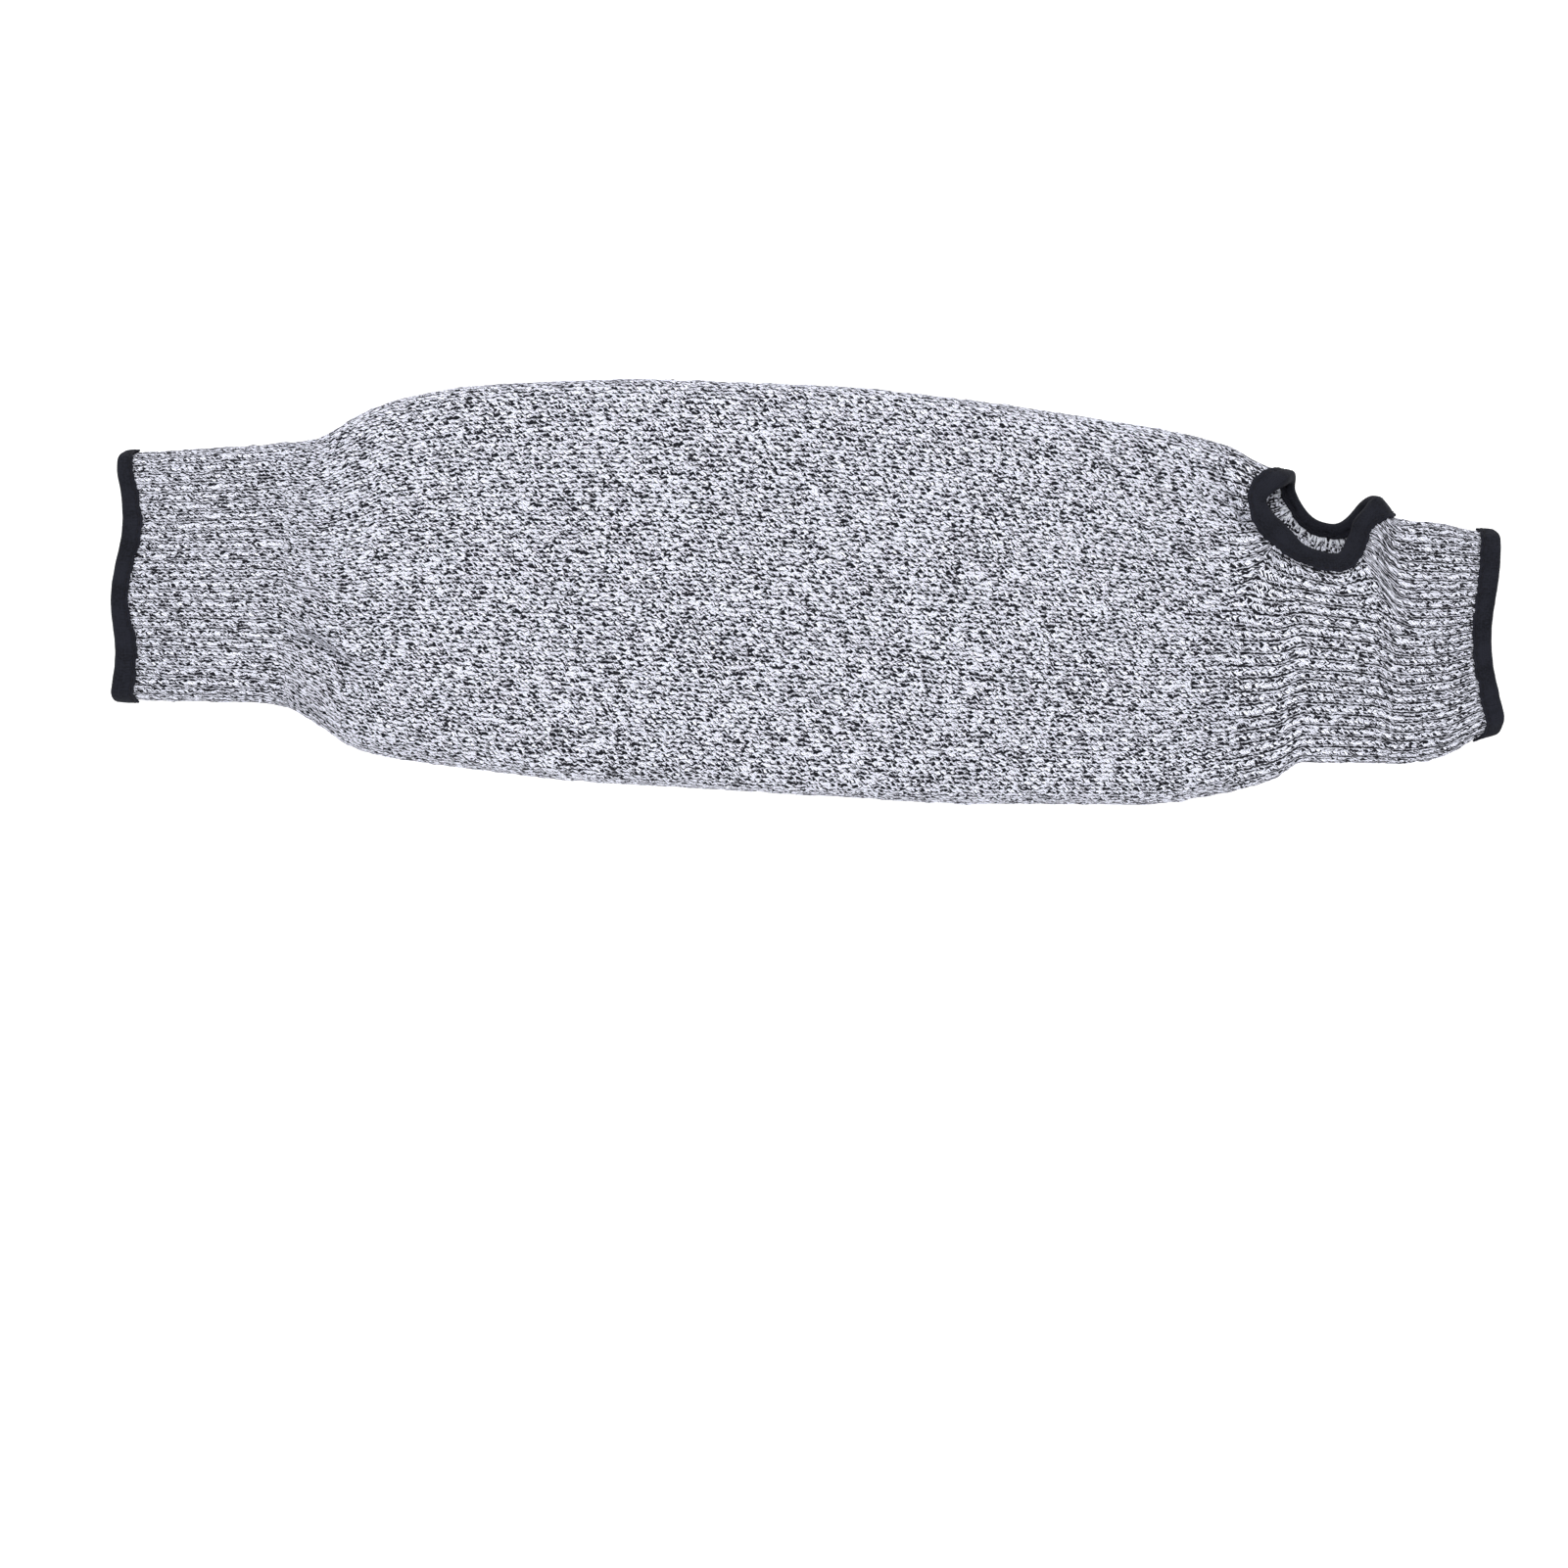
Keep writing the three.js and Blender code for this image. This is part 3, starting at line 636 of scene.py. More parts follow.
def fold_tape(name, surface, edge, end, width, gap, wall, thickness, inner_share, seed, materials):
    """A tape folded over a cut edge. At each place along the rim its section is laid along the cloth from
    the edge to the tape's border, and stood off it along the cloth's normal. On the inner face it reaches
    less far in, by the inner share. Returns the piece and, for the sewn line, the points and normals of its
    upper and its lower side."""
    edge_x, edge_around = edge
    end_x, end_around = end
    edge_point, edge_out = surface.place(edge_x, edge_around)
    end_point, _ = surface.place(end_x, end_around)
    outwards = edge_point - end_point
    outwards -= edge_out * np.sum(outwards * edge_out, axis=1, keepdims=True)
    outwards /= np.linalg.norm(outwards, axis=1, keepdims=True)
    step = np.linalg.norm(np.roll(edge_point, -1, axis=0) - edge_point, axis=1)
    distance = np.concatenate([[0], np.cumsum(step)])
    wider, fuller = tape_relief(distance[:-1], distance[-1], seed)
    profile = tape_profile(gap + thickness)
    back, share, beyond, side, lift = profile.T
    scallop = 0.13 * np.cos(distance[:-1] * 2 * np.pi / SCALLOP_PITCH)
    reach = width + 0.15 * wider + scallop
    inward = share * np.where(side < 0, inner_share, 1) * reach[:, None] - back
    s = inward / width[:, None]
    x = edge_x[:, None] + (end_x - edge_x)[:, None] * s
    around = edge_around[:, None] + (end_around - edge_around)[:, None] * s
    point, out = surface.place(x, around)
    full = 1 + 0.05 * fuller[:, None]
    stack = wall / 2 + gap + lift * full * thickness
    height = -wall / 2 + side * stack
    points = point + out * height[:, :, None] + outwards[:, None, :] * beyond[None, :, None]
    points[:, :, 2] = np.maximum(points[:, :, 2], 0.0)
    count = len(profile)
    vertex, spot = quads(len(edge_x), count, wrap_rows=True, wrap_columns=True)
    across = np.concatenate([[0], np.cumsum(np.linalg.norm(np.diff(points[0], axis=0), axis=1))])
    across = np.append(across, across[-1] + np.linalg.norm(points[0, 0] - points[0, -1]))
    uv = np.stack(np.broadcast_arrays(distance[:, None], across[None, :]), axis=2).reshape(-1, 2)
    faces, corners = vertex.reshape(-1, 4), uv[spot.reshape(-1, 4)]
    flat = points.reshape(-1, 3)
    a, b, c, d = (flat[faces[:, k]] for k in range(4))
    volume = np.sum(a * np.cross(b, c)) + np.sum(a * np.cross(c, d))
    if volume < 0:
        faces, corners = faces[:, ::-1], corners[:, ::-1]
    piece = make_piece(name, flat, [faces], [corners], "tape", None, materials)
    sewn = LEG.index((1.1, 1.0, 0.0, 0.72))
    lines = {
        "upper": (points[:, sewn], out[:, sewn]),
        "lower": (points[:, len(LEG) * 2 + len(NOSE_ANGLES) - 1 - sewn], -out[:, sewn]),
    }
    return piece, lines


def hem_tape(name, surface, hole, hem, edge_x, next_x, tape_width, wall, thickness, seed, materials):
    """A tape over a hem: it starts at the hem's row and ends part of the way to the next row of the CAD
    model's grid, wider at the far side by the slant."""
    column = np.arange(0, 2 * RIBS, 0.25)
    share = column / (2 * RIBS)
    across = np.where(share <= 0.5, 1 - 4 * share, 4 * share - 3)
    width = tape_width * (1 - HEMS[hem]["slant"] * across) - TAPE_STACK + along(DRIFTS[hem], 2, across)
    part = width / abs(edge_x - next_x)
    start_x, start_around, _ = hole.corner(np.full_like(column, edge_x), column)
    row_x, row_around, _ = hole.corner(np.full_like(column, next_x), column)
    end = (start_x + (row_x - start_x) * part, start_around + (row_around - start_around) * part)
    edge = (start_x, start_around)
    return fold_tape(name, surface, edge, end, width, SEAM_GAP, wall, thickness, 1.0, seed, materials)


def thumb_rim(hole, count, inward):
    """Places round the thumb hole at even angles, moved off the cut edge into the cloth by inward."""
    angle = np.linspace(0, 2 * np.pi, count, endpoint=False)
    edge_x, edge_around = hole.edge(angle)
    next_x, next_around = hole.edge(angle + 0.01)
    last_x, last_around = hole.edge(angle - 0.01)
    run = np.stack([next_x - last_x, (next_around - last_around) * hole.girth])
    run /= np.hypot(*run)
    return edge_x + run[1] * inward, edge_around - run[0] * inward / hole.girth


def thumb_tape(surface, hole, wall, thickness, materials):
    """The tape round the thumb hole."""
    count = 400
    angle = np.linspace(0, 2 * np.pi, count, endpoint=False)
    width = THUMB_TAPE - THUMB_SEAM_GAP - thickness + rim_bumps(angle, 4)
    edge = thumb_rim(hole, count, 0)
    end = thumb_rim(hole, count, width)
    return fold_tape(
        "thumb_tape", surface, edge, end, width, THUMB_SEAM_GAP, wall, thickness,
        THUMB_INNER_SHARE, 33, materials,
    )


def threads(name, paths, ups, radius, materials, sides=6):
    """Short lengths of thread with rounded ends: round each path of points a ring of sides, whose radius
    follows half an ellipse towards both ends, and a point at each end."""
    count, steps, _ = paths.shape
    run = np.gradient(paths, axis=1)
    run /= np.linalg.norm(run, axis=2, keepdims=True)
    aside = np.cross(run, ups)
    aside /= np.linalg.norm(aside, axis=2, keepdims=True)
    above = np.cross(aside, run)
    share = np.linspace(-1, 1, steps)
    size = radius * np.sqrt(np.maximum(1 - np.abs(share) ** 6, 0))[1:-1]
    turn = np.linspace(0, 2 * np.pi, sides, endpoint=False)
    ring = (
        aside[:, 1:-1, None] * np.cos(turn)[None, None, :, None]
        + above[:, 1:-1, None] * np.sin(turn)[None, None, :, None]
    )
    rings = paths[:, 1:-1, None] + ring * size[None, :, None, None]
    body = rings.reshape(count, -1, 3)
    points = np.concatenate([body, paths[:, :1], paths[:, -1:]], axis=1)
    points[:, :, 2] = np.maximum(points[:, :, 2], 0.0)
    vertex, spot = quads(steps - 2, sides, wrap_columns=True)
    vertex = vertex.reshape(-1, 4)
    each = points.shape[1]
    around = np.arange(sides)
    tail = (steps - 3) * sides
    start = np.stack([np.roll(around, -1), around, np.full(sides, each - 2)], axis=1)
    finish = np.stack([tail + around, tail + np.roll(around, -1), np.full(sides, each - 1)], axis=1)
    offset = np.arange(count)[:, None, None] * each
    body_faces = (vertex[None] + offset).reshape(-1, 4)
    cap_faces = (np.concatenate([start, finish])[None] + offset).reshape(-1, 3)
    length = np.linspace(0, steps, steps)[1:-1]
    uv = np.stack(
        np.broadcast_arrays(length[:, None], np.linspace(0, 1, sides + 1)[None, :]), axis=2
    ).reshape(-1, 2)
    body_uv = np.broadcast_to(uv[spot.reshape(-1, 4)][None], (count, len(vertex), 4, 2))
    cap_uv = np.zeros((len(cap_faces), 3, 2))
    return make_piece(
        name,
        points.reshape(-1, 3),
        [body_faces, cap_faces],
        [body_uv.reshape(-1, 4, 2), cap_uv],
        "thread",
        None,
        materials,
    )


def sewn_line(lines, pitch, length, steps=7):
    """Paths of stitches along closed lines: every pitch one stitch of the given length lies on the tape,
    with both ends dipping into it."""
    paths, ups = [], []
    for line, out in lines:
        step = np.linalg.norm(np.roll(line, -1, axis=0) - line, axis=1)
        distance = np.concatenate([[0], np.cumsum(step)])
        count = max(3, round(distance[-1] / pitch))
        start = np.arange(count) * distance[-1] / count
        share = np.linspace(0, 1, steps)
        spot = (start[:, None] + share[None, :] * length) % distance[-1]
        closed, closed_out = np.concatenate([line, line[:1]]), np.concatenate([out, out[:1]])
        path = np.stack([np.interp(spot, distance, closed[:, k]) for k in range(3)], axis=2)
        up = np.stack([np.interp(spot, distance, closed_out[:, k]) for k in range(3)], axis=2)
        height = 0.3 * np.sin(np.pi * share) - 0.12
        paths.append(path + up * height[None, :, None])
        ups.append(up)
    return np.concatenate(paths), np.concatenate(ups)


def add(tree, name, kind, inputs=(), **settings):
    """Adds a node called name: settings are its properties, and inputs its sockets' values in order, or by
    socket name. A string value names the node that feeds the socket, with :socket, by name or number, unless
    that is the first."""
    made = tree.nodes.new("ShaderNode" + kind)
    made.name = made.label = name
    for key, value in settings.items():
        setattr(made, key, value)
    for key, value in inputs.items() if isinstance(inputs, dict) else enumerate(inputs):
        if isinstance(value, str):
            source, _, socket = value.partition(":")
            socket = int(socket or 0) if socket.isdigit() or not socket else socket
            tree.links.new(tree.nodes[source].outputs[socket], made.inputs[key])
        elif value is not None:
            made.inputs[key].default_value = value
    return made


def new_material(name, slot_roughness):
    """A material with a matt Principled shader, and its node tree."""
    material = bpy.data.materials.new(name)
    material.use_nodes = True
    tree = material.node_tree
    tree.nodes.clear()
    add(tree, "output", "OutputMaterial")
    add(tree, "surface", "BsdfPrincipled", {"Roughness": slot_roughness})
    tree.links.new(tree.nodes["surface"].outputs[0], tree.nodes["output"].inputs[0])
    return material, tree


# Wales of the body's pattern for each of the UV map's, so that they are at most 1.5 mm wide. The cuffs keep
# the UV map's own, of which there are three to a rib.
BODY_WALES = 184 / 168


def marl_knit(name, settings, lean, leg_share):
    """Weft knit of a pale yarn plied with a near-black one, fluffy and matt. One stitch is a course by a
    wale, and its two legs lean together into a chevron that points towards the hand. Which ply shows
    changes along the yarn, so near-black dashes lie on the pale legs, a few courses long at a time."""
    material, tree = new_material(name, 0.95)
    tree.nodes["surface"].inputs["Specular IOR Level"].default_value = 0.1
    tree.nodes["surface"].inputs["Sheen Weight"].default_value = 0.03
    tree.nodes["surface"].inputs["Sheen Roughness"].default_value = 0.6

    # Place on the cloth in wales and courses, made uneven as a hand finds real stitches
    add(tree, "uv", "UVMap", uv_map="stitches")
    add(tree, "raw", "SeparateXYZ", ["uv"])
    add(tree, "elbow_side", "Math", ["raw:Y", station(ELBOW_CUFF_END)], operation="LESS_THAN")
    add(tree, "hand_side", "Math", ["raw:Y", station(HAND_CUFF_START)], operation="GREATER_THAN")
    add(tree, "in_cuff", "Math", ["elbow_side", "hand_side"], operation="ADD")
    add(tree, "wales", "MapRange", {"Value": "in_cuff", "To Min": BODY_WALES, "To Max": 1.0})
    add(tree, "unit_x", "Math", ["raw:X", "wales"], operation="MULTIPLY")
    add(tree, "unit_y", "Math", ["raw:Y", MM / settings.course], operation="MULTIPLY")
    add(tree, "unit", "CombineXYZ", ["unit_x", "unit_y", 0.0])
    add(tree, "sway", "TexNoise", {"Vector": "unit", "Scale": 0.21, "Detail": 1.5}, noise_dimensions="2D")
    add(tree, "jitter", "TexNoise", {"Vector": "unit", "Scale": 0.9, "Detail": 0.0}, noise_dimensions="2D")
    add(tree, "sway_mid", "VectorMath", ["sway:Color", (0.5, 0.5, 0.5)], operation="SUBTRACT")
    add(tree, "sway_by", "VectorMath", ["sway_mid", (1.0, 1.4, 0)], operation="MULTIPLY")
    add(tree, "jitter_mid", "VectorMath", ["jitter:Color", (0.5, 0.5, 0.5)], operation="SUBTRACT")
    add(tree, "jitter_by", "VectorMath", ["jitter_mid", (0.4, 1.0, 0)], operation="MULTIPLY")
    add(tree, "moved", "VectorMath", ["unit", "sway_by"], operation="ADD")
    add(tree, "placed", "VectorMath", ["moved", "jitter_by"], operation="ADD")
    add(tree, "spot", "SeparateXYZ", ["placed"])

    # The chevron: tri rises from 0 to 1 over the long leg of a wale and falls back over the short one
    add(tree, "wale", "Math", ["spot:X"], operation="FLOOR")
    add(tree, "in_wale", "Math", ["spot:X"], operation="FRACT")
    add(tree, "rise", "Math", ["in_wale", leg_share], operation="DIVIDE")
    add(tree, "fall_from", "Math", [1.0, "in_wale"], operation="SUBTRACT")
    add(tree, "fall", "Math", ["fall_from", 1 - leg_share], operation="DIVIDE")
    add(tree, "tri", "Math", ["rise", "fall"], operation="MINIMUM")
    add(tree, "second", "Math", ["in_wale", leg_share], operation="GREATER_THAN")
    add(tree, "leg_wide", "Math", ["wale", 2.0, "second"], operation="MULTIPLY_ADD")
    add(tree, "pushed", "Math", ["tri", -lean, "spot:Y"], operation="MULTIPLY_ADD")
    add(tree, "course", "Math", ["pushed"], operation="FLOOR")
    add(tree, "in_course", "Math", ["pushed"], operation="FRACT")

    # Height of a strand: round across it, and dipping where it passes behind its neighbours
    add(tree, "side", "Math", ["in_course", 2.0, -1.0], operation="MULTIPLY_ADD")
    add(tree, "side_abs", "Math", ["side"], operation="ABSOLUTE")
    add(tree, "side_round", "Math", ["side_abs", 2.1], operation="POWER")
    add(tree, "across", "Math", [1.0, "side_round"], operation="SUBTRACT")
    add(tree, "end", "Math", ["tri", 2.0, -1.0], operation="MULTIPLY_ADD")
    add(tree, "end_abs", "Math", ["end"], operation="ABSOLUTE")
    add(tree, "end_round", "Math", ["end_abs", 3.0], operation="POWER")
    add(tree, "dip", "Math", ["end_round", -0.4, 1.0], operation="MULTIPLY_ADD")
    add(tree, "height", "Math", ["across", "dip"], operation="MULTIPLY")

    # Which ply shows: noise along each column of legs, upset from leg to leg and gathered in clusters
    add(tree, "leg_id", "CombineXYZ", ["leg_wide", "course", 0.0])
    add(tree, "leg_random", "TexWhiteNoise", {"Vector": "leg_id"}, noise_dimensions="3D")
    add(tree, "random", "SeparateColor", ["leg_random:Color"])
    add(tree, "column_at", "CombineXYZ", ["leg_wide", "pushed", 0.0])
    add(tree, "dash_at", "VectorMath", ["column_at", (1.0, 1.15, 0)], operation="MULTIPLY")
    add(tree, "dash", "TexNoise", {"Vector": "dash_at", "Scale": 1.0, "Detail": 0.0}, noise_dimensions="2D")
    add(tree, "cluster", "TexNoise", {"Vector": "unit", "Scale": 0.16, "Detail": 1.0}, noise_dimensions="2D")
    upset, gather = 0.6, 0.07
    add(tree, "upset", "Math", ["leg_random", upset, "dash"], operation="MULTIPLY_ADD")
    add(tree, "gathered", "Math", ["cluster", gather, "upset"], operation="MULTIPLY_ADD")
    add(tree, "over", "Math", ["side", 0.15, "gathered"], operation="MULTIPLY_ADD")
    add(tree, "twisted", "Math", ["end", 0.2, "over"], operation="MULTIPLY_ADD")

    # Cuffs: near-black flecks gather along the groove between ribs, partly the yarn's own and partly painted shade of
    # the groove, and the colour there is darkened a little as painted shade. A groove is where the third wale of each
    # rib turns in.
    add(tree, "rib_at", "Math", ["raw:X", 1 / WALES_PER_RIB], operation="MULTIPLY")
    add(tree, "in_rib", "Math", ["rib_at"], operation="FRACT")
    add(tree, "from_groove", "Math", ["in_rib", 0.5], operation="SUBTRACT")
    add(tree, "groove_off", "Math", ["from_groove"], operation="ABSOLUTE")
    add(tree, "groove", "MapRange", {"Value": "groove_off", "From Min": 0.04, "From Max": 0.2, "To Min": 1.0, "To Max": 0.0})
    add(tree, "elbow_cuff", "MapRange", {
        "Value": "raw:Y", "From Min": station(ELBOW_CUFF_END) - 6, "From Max": station(ELBOW_CUFF_END) + 6,
        "To Min": ELBOW_RIB_STRENGTH, "To Max": 0.0,
    })
    add(tree, "hand_cuff", "MapRange", {
        "Value": "raw:Y", "From Min": station(HAND_CUFF_START) - 6, "From Max": station(HAND_CUFF_START) + 6,
    })
    add(tree, "cuff", "Math", ["elbow_cuff", "hand_cuff"], operation="MAXIMUM")
    add(tree, "line", "Math", ["groove", "cuff"], operation="MULTIPLY")

    limit = 0.5 + (upset + gather) / 2 + settings.dark_limit
    # More near-black flecks along the cuffs' grooves: partly the yarn's own, partly painted shade of the groove
    add(tree, "lined", "Math", ["line", 0.26, "twisted"], operation="MULTIPLY_ADD")
    add(tree, "darker", "Math", ["hand_cuff", -0.01, "lined"], operation="MULTIPLY_ADD")
    add(tree, "dark", "MapRange", {"Value": "darker", "From Min": limit, "From Max": limit + 0.03})

    # Colour: pale strands that vary a little, near-black plies, and shade in the gaps between strands
    pale, deep = list(settings.pale_yarn), list(settings.dark_yarn)
    dull = [c * 0.8 for c in pale[:3]]
    add(tree, "pale", "Mix", {0: "random:Red", 4: pale[:3], 5: dull}, data_type="VECTOR")
    add(tree, "ply", "Mix", {0: "dark", 4: "pale:1", 5: deep[:3]}, data_type="VECTOR")
    add(tree, "gap", "MapRange", {"Value": "height", "From Min": 0.0, "From Max": 0.7, "To Min": settings.gap_shade, "To Max": 1.0})
    # Painted shade: the colour in the cuffs' grooves is darkened by up to 8 percent
    add(tree, "groove_shade", "Math", ["line", -0.08, 1.0], operation="MULTIPLY_ADD")
    add(tree, "shade", "Math", ["gap", "groove_shade"], operation="MULTIPLY")
    add(tree, "colour", "VectorMath", {0: "ply:1", "Scale": "shade"}, operation="SCALE")
    tree.links.new(tree.nodes["colour"].outputs[0], tree.nodes["surface"].inputs["Base Color"])

    # Relief: strands stand about a quarter of a millimetre proud of the gaps, under fine loose fibres
    add(tree, "fibre", "TexNoise", {"Vector": "unit", "Scale": 5.0, "Detail": 2.0}, noise_dimensions="2D")
    add(tree, "relief", "Math", ["fibre", 0.25, "height"], operation="MULTIPLY_ADD")
    add(tree, "bump", "Bump", {"Strength": 1.0, "Distance": 0.00022, "Height": "relief"})
    tree.links.new(tree.nodes["bump"].outputs[0], tree.nodes["surface"].inputs["Normal"])
    return material


def binding_tape(settings):
    """Knitted polyester binding tape, dyed blue-black and matt: fine lengthways wales half a millimetre
    apart with finer courses across them, so it looks smooth with a faint grain, and picks up some lint."""
    material, tree = new_material("polyester_binding_tape", 0.88)
    tree.nodes["surface"].inputs["Specular IOR Level"].default_value = 0.12
    add(tree, "uv", "UVMap", uv_map="tape")
    add(tree, "spot", "SeparateXYZ", ["uv"])
    add(tree, "across", "Math", ["spot:Y", 2 * math.pi / 0.55], operation="MULTIPLY")
    add(tree, "wale", "Math", ["across"], operation="SINE")
    add(tree, "lengthways", "Math", ["spot:X", 2 * math.pi / 0.42], operation="MULTIPLY")
    add(tree, "course", "Math", ["lengthways"], operation="SINE")
    add(tree, "grain", "TexNoise", {"Vector": "uv", "Scale": 1.6, "Detail": 3.0}, noise_dimensions="2D")
    add(tree, "worn", "TexNoise", {"Vector": "uv", "Scale": 0.12, "Detail": 2.0}, noise_dimensions="2D")
    add(tree, "weave", "Math", ["wale", 0.6, "course"], operation="MULTIPLY_ADD")
    add(tree, "tone_a", "Math", ["weave", 0.1, "grain"], operation="MULTIPLY_ADD")
    add(tree, "tone", "Math", ["worn", 0.8, "tone_a"], operation="MULTIPLY_ADD")
    base = list(settings.colour)
    add(tree, "ramp", "ValToRGB", ["tone"])
    ramp = tree.nodes["ramp"].color_ramp
    ramp.elements[0].position, ramp.elements[1].position = 0.6, 1.2
    ramp.elements[0].color = [c * 0.72 for c in base[:3]] + [1.0]
    ramp.elements[1].color = [min(1, c * 1.9) for c in base[:3]] + [1.0]
    tree.links.new(tree.nodes["ramp"].outputs[0], tree.nodes["surface"].inputs["Base Color"])
    add(tree, "relief", "Math", ["grain", 1.2, "weave"], operation="MULTIPLY_ADD")
    add(tree, "bump", "Bump", {"Strength": 0.8, "Distance": 0.00004, "Height": "relief"})
    tree.links.new(tree.nodes["bump"].outputs[0], tree.nodes["surface"].inputs["Normal"])
    return material


def sewing_thread(name, colour, roughness):
    """Spun polyester sewing thread: two plies twisted together, which show as slanting bands."""
    material, tree = new_material(name, roughness)
    tree.nodes["surface"].inputs["Specular IOR Level"].default_value = 0.2
    add(tree, "uv", "UVMap", uv_map="thread")
    add(tree, "spot", "SeparateXYZ", ["uv"])
    add(tree, "turn", "Math", ["spot:Y", 2.0, "spot:X"], operation="MULTIPLY_ADD")
    add(tree, "phase", "Math", ["turn", 2 * math.pi], operation="MULTIPLY")
    add(tree, "twist", "Math", ["phase"], operation="SINE")
    add(tree, "share", "MapRange", {"Value": "twist", "From Min": -1.0, "To Min": 0.0, "To Max": 1.0})
    add(tree, "ramp", "ValToRGB", ["share"])
    ramp = tree.nodes["ramp"].color_ramp
    ramp.elements[0].color = [c * 0.72 for c in colour[:3]] + [1.0]
    ramp.elements[1].color = colour
    tree.links.new(tree.nodes["ramp"].outputs[0], tree.nodes["surface"].inputs["Base Color"])
    add(tree, "bump", "Bump", {"Strength": 0.7, "Distance": 0.00006, "Height": "twist"})
    tree.links.new(tree.nodes["bump"].outputs[0], tree.nodes["surface"].inputs["Normal"])
    return material


class SleeveKnitSettings(bpy.types.PropertyGroup):
    """Sizes and colours of the knitted tube."""

    wall: bpy.props.FloatProperty(
        name="Wall", description="Thickness of the knitted cloth", default=0.0016, unit="LENGTH"
    )
    rib_depth: bpy.props.FloatProperty(
        name="Rib Depth", description="Depth of the grooves between the cuffs' ribs", default=0.00055, unit="LENGTH"
    )
    course: bpy.props.FloatProperty(
        name="Course", description="Length of one stitch along the sleeve", default=0.00083, unit="LENGTH"
    )
    dark_limit: bpy.props.FloatProperty(
        name="Dark Limit", description="Higher values leave fewer near-black dashes", default=0.01
    )
    gap_shade: bpy.props.FloatProperty(
        name="Gap Shade", description="Brightness in the gaps between strands", default=0.16, subtype="FACTOR"
    )
    pale_yarn: bpy.props.FloatVectorProperty(
        name="Pale Yarn", description="Colour of the pale yarn", size=4, subtype="COLOR", default=linear("#eff1ff")
    )
    dark_yarn: bpy.props.FloatVectorProperty(
        name="Dark Yarn", description="Colour of the near-black yarn", size=4, subtype="COLOR", default=linear("#18181f")
    )


class SleeveTapeSettings(bpy.types.PropertyGroup):
    """Sizes and colours of the bindings and their threads."""

    thickness: bpy.props.FloatProperty(
        name="Thickness", description="Thickness of one layer of tape", default=0.0008, unit="LENGTH"
    )
    colour: bpy.props.FloatVectorProperty(
        name="Colour", description="Colour of the tape", size=4, subtype="COLOR", default=linear("#111218")
    )
    stitch_pitch: bpy.props.FloatProperty(
        name="Stitch Pitch", description="Distance from one stitch to the next", default=0.0028, unit="LENGTH"
    )
    stitch_length: bpy.props.FloatProperty(
        name="Stitch Length", description="Length of a stitch that shows", default=0.0021, unit="LENGTH"
    )
    overlock_pitch: bpy.props.FloatProperty(
        name="Overlock Pitch", description="Distance between the overlock's threads", default=0.00095, unit="LENGTH"
    )


class SleeveStageSettings(bpy.types.PropertyGroup):
    """Camera, floor and light."""

    lens: bpy.props.FloatProperty(name="Lens", description="Focal length in millimetres", default=85.0)
    camera_x: bpy.props.FloatProperty(
        name="Camera X", description="Place of the camera along the sleeve", default=-0.0071, unit="LENGTH"
    )
    camera_y: bpy.props.FloatProperty(
        name="Camera Y", description="Place of the camera across the sleeve", default=-0.0619, unit="LENGTH"
    )
    camera_height: bpy.props.FloatProperty(
        name="Camera Height", description="Height of the camera above the floor", default=1.2044, unit="LENGTH"
    )
    sky: bpy.props.FloatProperty(name="Sky", description="Strength of the even light", default=1.27)
    softbox: bpy.props.FloatProperty(name="Softbox", description="Power of the soft light in watts", default=13.0)


STATE = {}


def shared_shape():
    """The knit's surface and thumb hole, worked out once for all the pieces."""
    if not STATE:
        STATE["surface"] = Surface(soft_relief)
        STATE["hole"] = ThumbHole(STATE["surface"])
        STATE["lines"] = []
    return STATE["surface"], STATE["hole"]


class SLEEVE_OT_knit_tube(bpy.types.Operator):
    """Builds the knitted tube with its ribbed cuffs and thumb hole"""

    bl_idname = "sleeve.knit_tube"
    bl_label = "Knit Tube"

    def execute(self, context):
        knit = context.scene.sleeve_knit
        surface, hole = shared_shape()
        face = marl_knit("marl_knit_face", knit, 1.5, 0.65)
        back = marl_knit("marl_knit_back", knit, 0.3, 0.5)
        tube = knit_tube(surface, hole, knit.wall / MM, knit.rib_depth / MM, [face, back])
        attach(tube, "root")
        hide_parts("knit_sleeve")
        return {"FINISHED"}


class SLEEVE_OT_tapes(bpy.types.Operator):
    """Folds a tape over each hem and round the thumb hole"""

    bl_idname = "sleeve.tapes"
    bl_label = "Binding Tapes"

    def execute(self, context):
        tape, wall = context.scene.sleeve_tape, context.scene.sleeve_knit.wall / MM
        thickness = tape.thickness / MM
        surface, hole = shared_shape()
        cloth = [binding_tape(tape)]
        made = [
            ("elbow_binding", hem_tape(
                "elbow_tape", surface, hole, "elbow", -HEM_EDGE, ELBOW_RIBS, ELBOW_TAPE,
                wall, thickness, 31, cloth,
            )),
            ("hand_binding", hem_tape(
                "hand_tape", surface, hole, "hand", HEM_EDGE, HAND_RIBS, HAND_TAPE,
                wall, thickness, 32, cloth,
            )),
            ("thumb_binding", thumb_tape(surface, hole, wall, thickness, cloth)),
        ]
        for node, (piece, lines) in made:
            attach(piece, "root")
            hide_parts(node)
            STATE["lines"] += [lines["upper"], lines["lower"]]
        return {"FINISHED"}


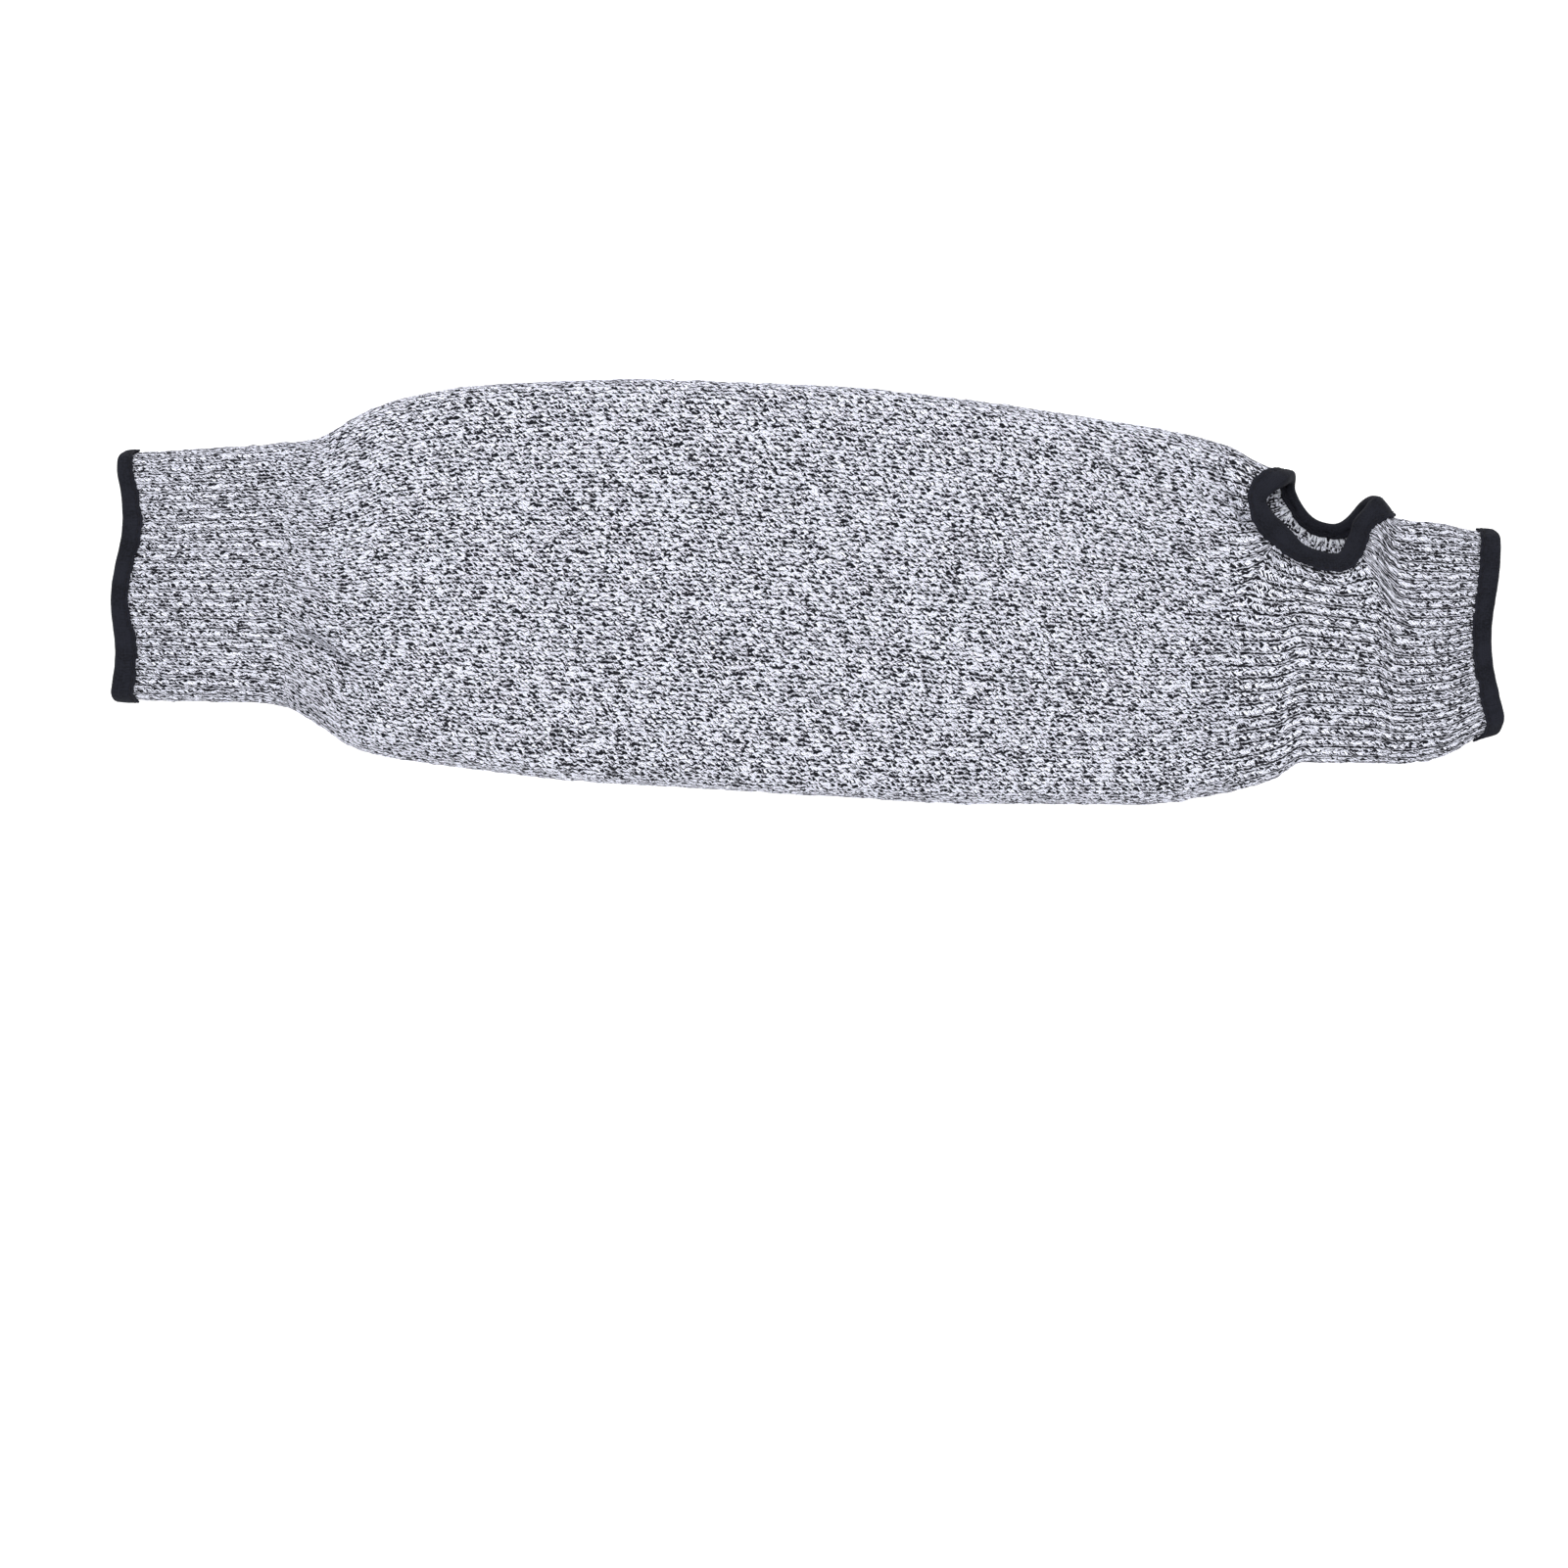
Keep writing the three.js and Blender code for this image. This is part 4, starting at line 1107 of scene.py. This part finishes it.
class SLEEVE_OT_sewing(bpy.types.Operator):
    """Sews the tapes down and covers the thumb hole's raw edge with overlock threads"""

    bl_idname = "sleeve.sewing"
    bl_label = "Sewing Threads"

    def execute(self, context):
        tape, wall = context.scene.sleeve_tape, context.scene.sleeve_knit.wall / MM
        surface, hole = shared_shape()
        black = sewing_thread("polyester_thread_black", linear("#16161d"), 0.8)
        paths, ups = sewn_line(STATE["lines"], tape.stitch_pitch / MM, tape.stitch_length / MM)
        stitches = threads("tape_stitches", paths, ups, 0.2, [black])
        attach(stitches, "root")
        white = sewing_thread("textured_thread_white", linear("#f3f6ff"), 0.9)
        paths, ups = overlock(surface, hole, wall, tape.overlock_pitch / MM)
        seam = threads("thumb_overlock", paths, ups, 0.36, [white])
        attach(seam, "root")
        return {"FINISHED"}


def overlock(surface, hole, wall, pitch, steps=9):
    """Paths of overlock threads on the inner face of the cloth round the thumb hole: each runs out of the
    tape across the seam, slanting, and dives into the cloth."""
    draw = np.random.default_rng(41)
    count = round(125 / pitch)
    rims = [thumb_rim(hole, count, depth) for depth in np.linspace(2.5, 8.0, steps)]
    x = np.stack([r[0] for r in rims], axis=1)
    around = np.stack([r[1] for r in rims], axis=1)
    share = np.linspace(0, 1, steps)[None, :]
    slant = (draw.normal(0.5, 1.1, (count, 1)) * share + draw.normal(0, 0.3, (count, 1))) * pitch
    slant = slant + 0.3 * np.sin(share * 5 + draw.uniform(0, 6, (count, 1)))
    run_x, run_around = np.roll(x, -1, axis=0) - x, np.roll(around, -1, axis=0) - around
    length = np.hypot(run_x, run_around * hole.girth)
    x = x + run_x / length * slant
    around = around + run_around / length * slant
    short = draw.uniform(0.5, 1.0, (count, 1))
    x = x[:, :1] + (x - x[:, :1]) * short
    around = around[:, :1] + (around - around[:, :1]) * short
    point, out = surface.place(x, around)
    rise = 0.32 * np.sin(np.pi * np.clip(share * 1.05, 0, 1)) ** 0.5 - 0.12
    path = point - out * (wall + rise[:, :, None] + draw.uniform(-0.06, 0.08, (count, 1, 1)))
    return path, -out


class SLEEVE_OT_stage(bpy.types.Operator):
    """Adds the floor, the camera and soft studio light"""

    bl_idname = "sleeve.stage"
    bl_label = "Studio Stage"

    def execute(self, context):
        stage, scene = context.scene.sleeve_stage, context.scene
        half = 2500.0
        corners = np.array([(-half, -half, 0), (half, -half, 0), (half, half, 0), (-half, half, 0)])
        corners[:, 2] = -0.05
        floor = make_piece("studio_floor", corners, [np.array([[0, 1, 2, 3]])], materials=[pale_floor()])
        world = bpy.data.worlds.new("studio_world")
        world.use_nodes = True
        world.node_tree.nodes["Background"].inputs["Color"].default_value = (1, 1, 1, 1)
        world.node_tree.nodes["Background"].inputs["Strength"].default_value = stage.sky
        scene.world = world
        light = bpy.data.lights.new("softbox", "AREA")
        light.shape, light.size, light.energy = "DISK", 1.6, stage.softbox
        box = bpy.data.objects.new("softbox", light)
        box.location = (-0.35, 0.5, 1.5)
        box.rotation_euler = (math.radians(-18), math.radians(-13), 0)
        scene.collection.objects.link(box)
        camera = bpy.data.objects.new("camera", bpy.data.cameras.new("camera"))
        camera.data.lens, camera.data.sensor_width = stage.lens, 36.0
        camera.location = (stage.camera_x, stage.camera_y, stage.camera_height)
        scene.collection.objects.link(camera)
        scene.camera = camera
        scene.view_settings.view_transform = "Standard"
        return {"FINISHED"}


def pale_floor():
    """Matt white acrylic sheet lit from below as a light table is, so that it takes hardly any shadow."""
    material, tree = new_material("white_acrylic_floor", 0.9)
    surface = tree.nodes["surface"]
    surface.inputs["Specular IOR Level"].default_value = 0.1
    add(tree, "place", "TexCoord")
    add(tree, "cloud", "TexNoise", {"Vector": "place:Object", "Scale": 3.0, "Detail": 2.0})
    add(tree, "ramp", "ValToRGB", ["cloud"])
    tree.nodes["ramp"].color_ramp.elements[0].color = linear("#f2f2f2")
    tree.nodes["ramp"].color_ramp.elements[1].color = linear("#f8f8f8")
    tree.links.new(tree.nodes["ramp"].outputs[0], surface.inputs["Base Color"])
    surface.inputs["Emission Color"].default_value = (1, 1, 1, 1)
    surface.inputs["Emission Strength"].default_value = 0.4
    return material


class SLEEVE_PT_panel(bpy.types.Panel):
    """Lists the sleeve's settings and the steps that build it."""

    bl_idname = "SLEEVE_PT_panel"
    bl_label = "Sleeve"
    bl_space_type = "VIEW_3D"
    bl_region_type = "UI"
    bl_category = "Sleeve"

    def draw(self, context):
        for group in ("sleeve_knit", "sleeve_tape", "sleeve_stage"):
            box = self.layout.box()
            settings = getattr(context.scene, group)
            for key in settings.bl_rna.properties.keys():
                if key not in ("rna_type", "name"):
                    box.prop(settings, key)
        for step in STEPS:
            self.layout.operator(step.bl_idname)


STEPS = (SLEEVE_OT_knit_tube, SLEEVE_OT_tapes, SLEEVE_OT_sewing, SLEEVE_OT_stage)
GROUPS = {
    "sleeve_knit": SleeveKnitSettings,
    "sleeve_tape": SleeveTapeSettings,
    "sleeve_stage": SleeveStageSettings,
}


def register():
    for group in (*GROUPS.values(), *STEPS, SLEEVE_PT_panel):
        bpy.utils.register_class(group)
    for name, group in GROUPS.items():
        setattr(bpy.types.Scene, name, bpy.props.PointerProperty(type=group))


def unregister():
    for name in GROUPS:
        delattr(bpy.types.Scene, name)
    for group in (SLEEVE_PT_panel, *STEPS[::-1], *GROUPS.values()):
        bpy.utils.unregister_class(group)


def main():
    register()
    bpy.ops.sleeve.knit_tube()
    bpy.ops.sleeve.tapes()
    bpy.ops.sleeve.sewing()
    bpy.ops.sleeve.stage()


if __name__ == "__main__":
    main()
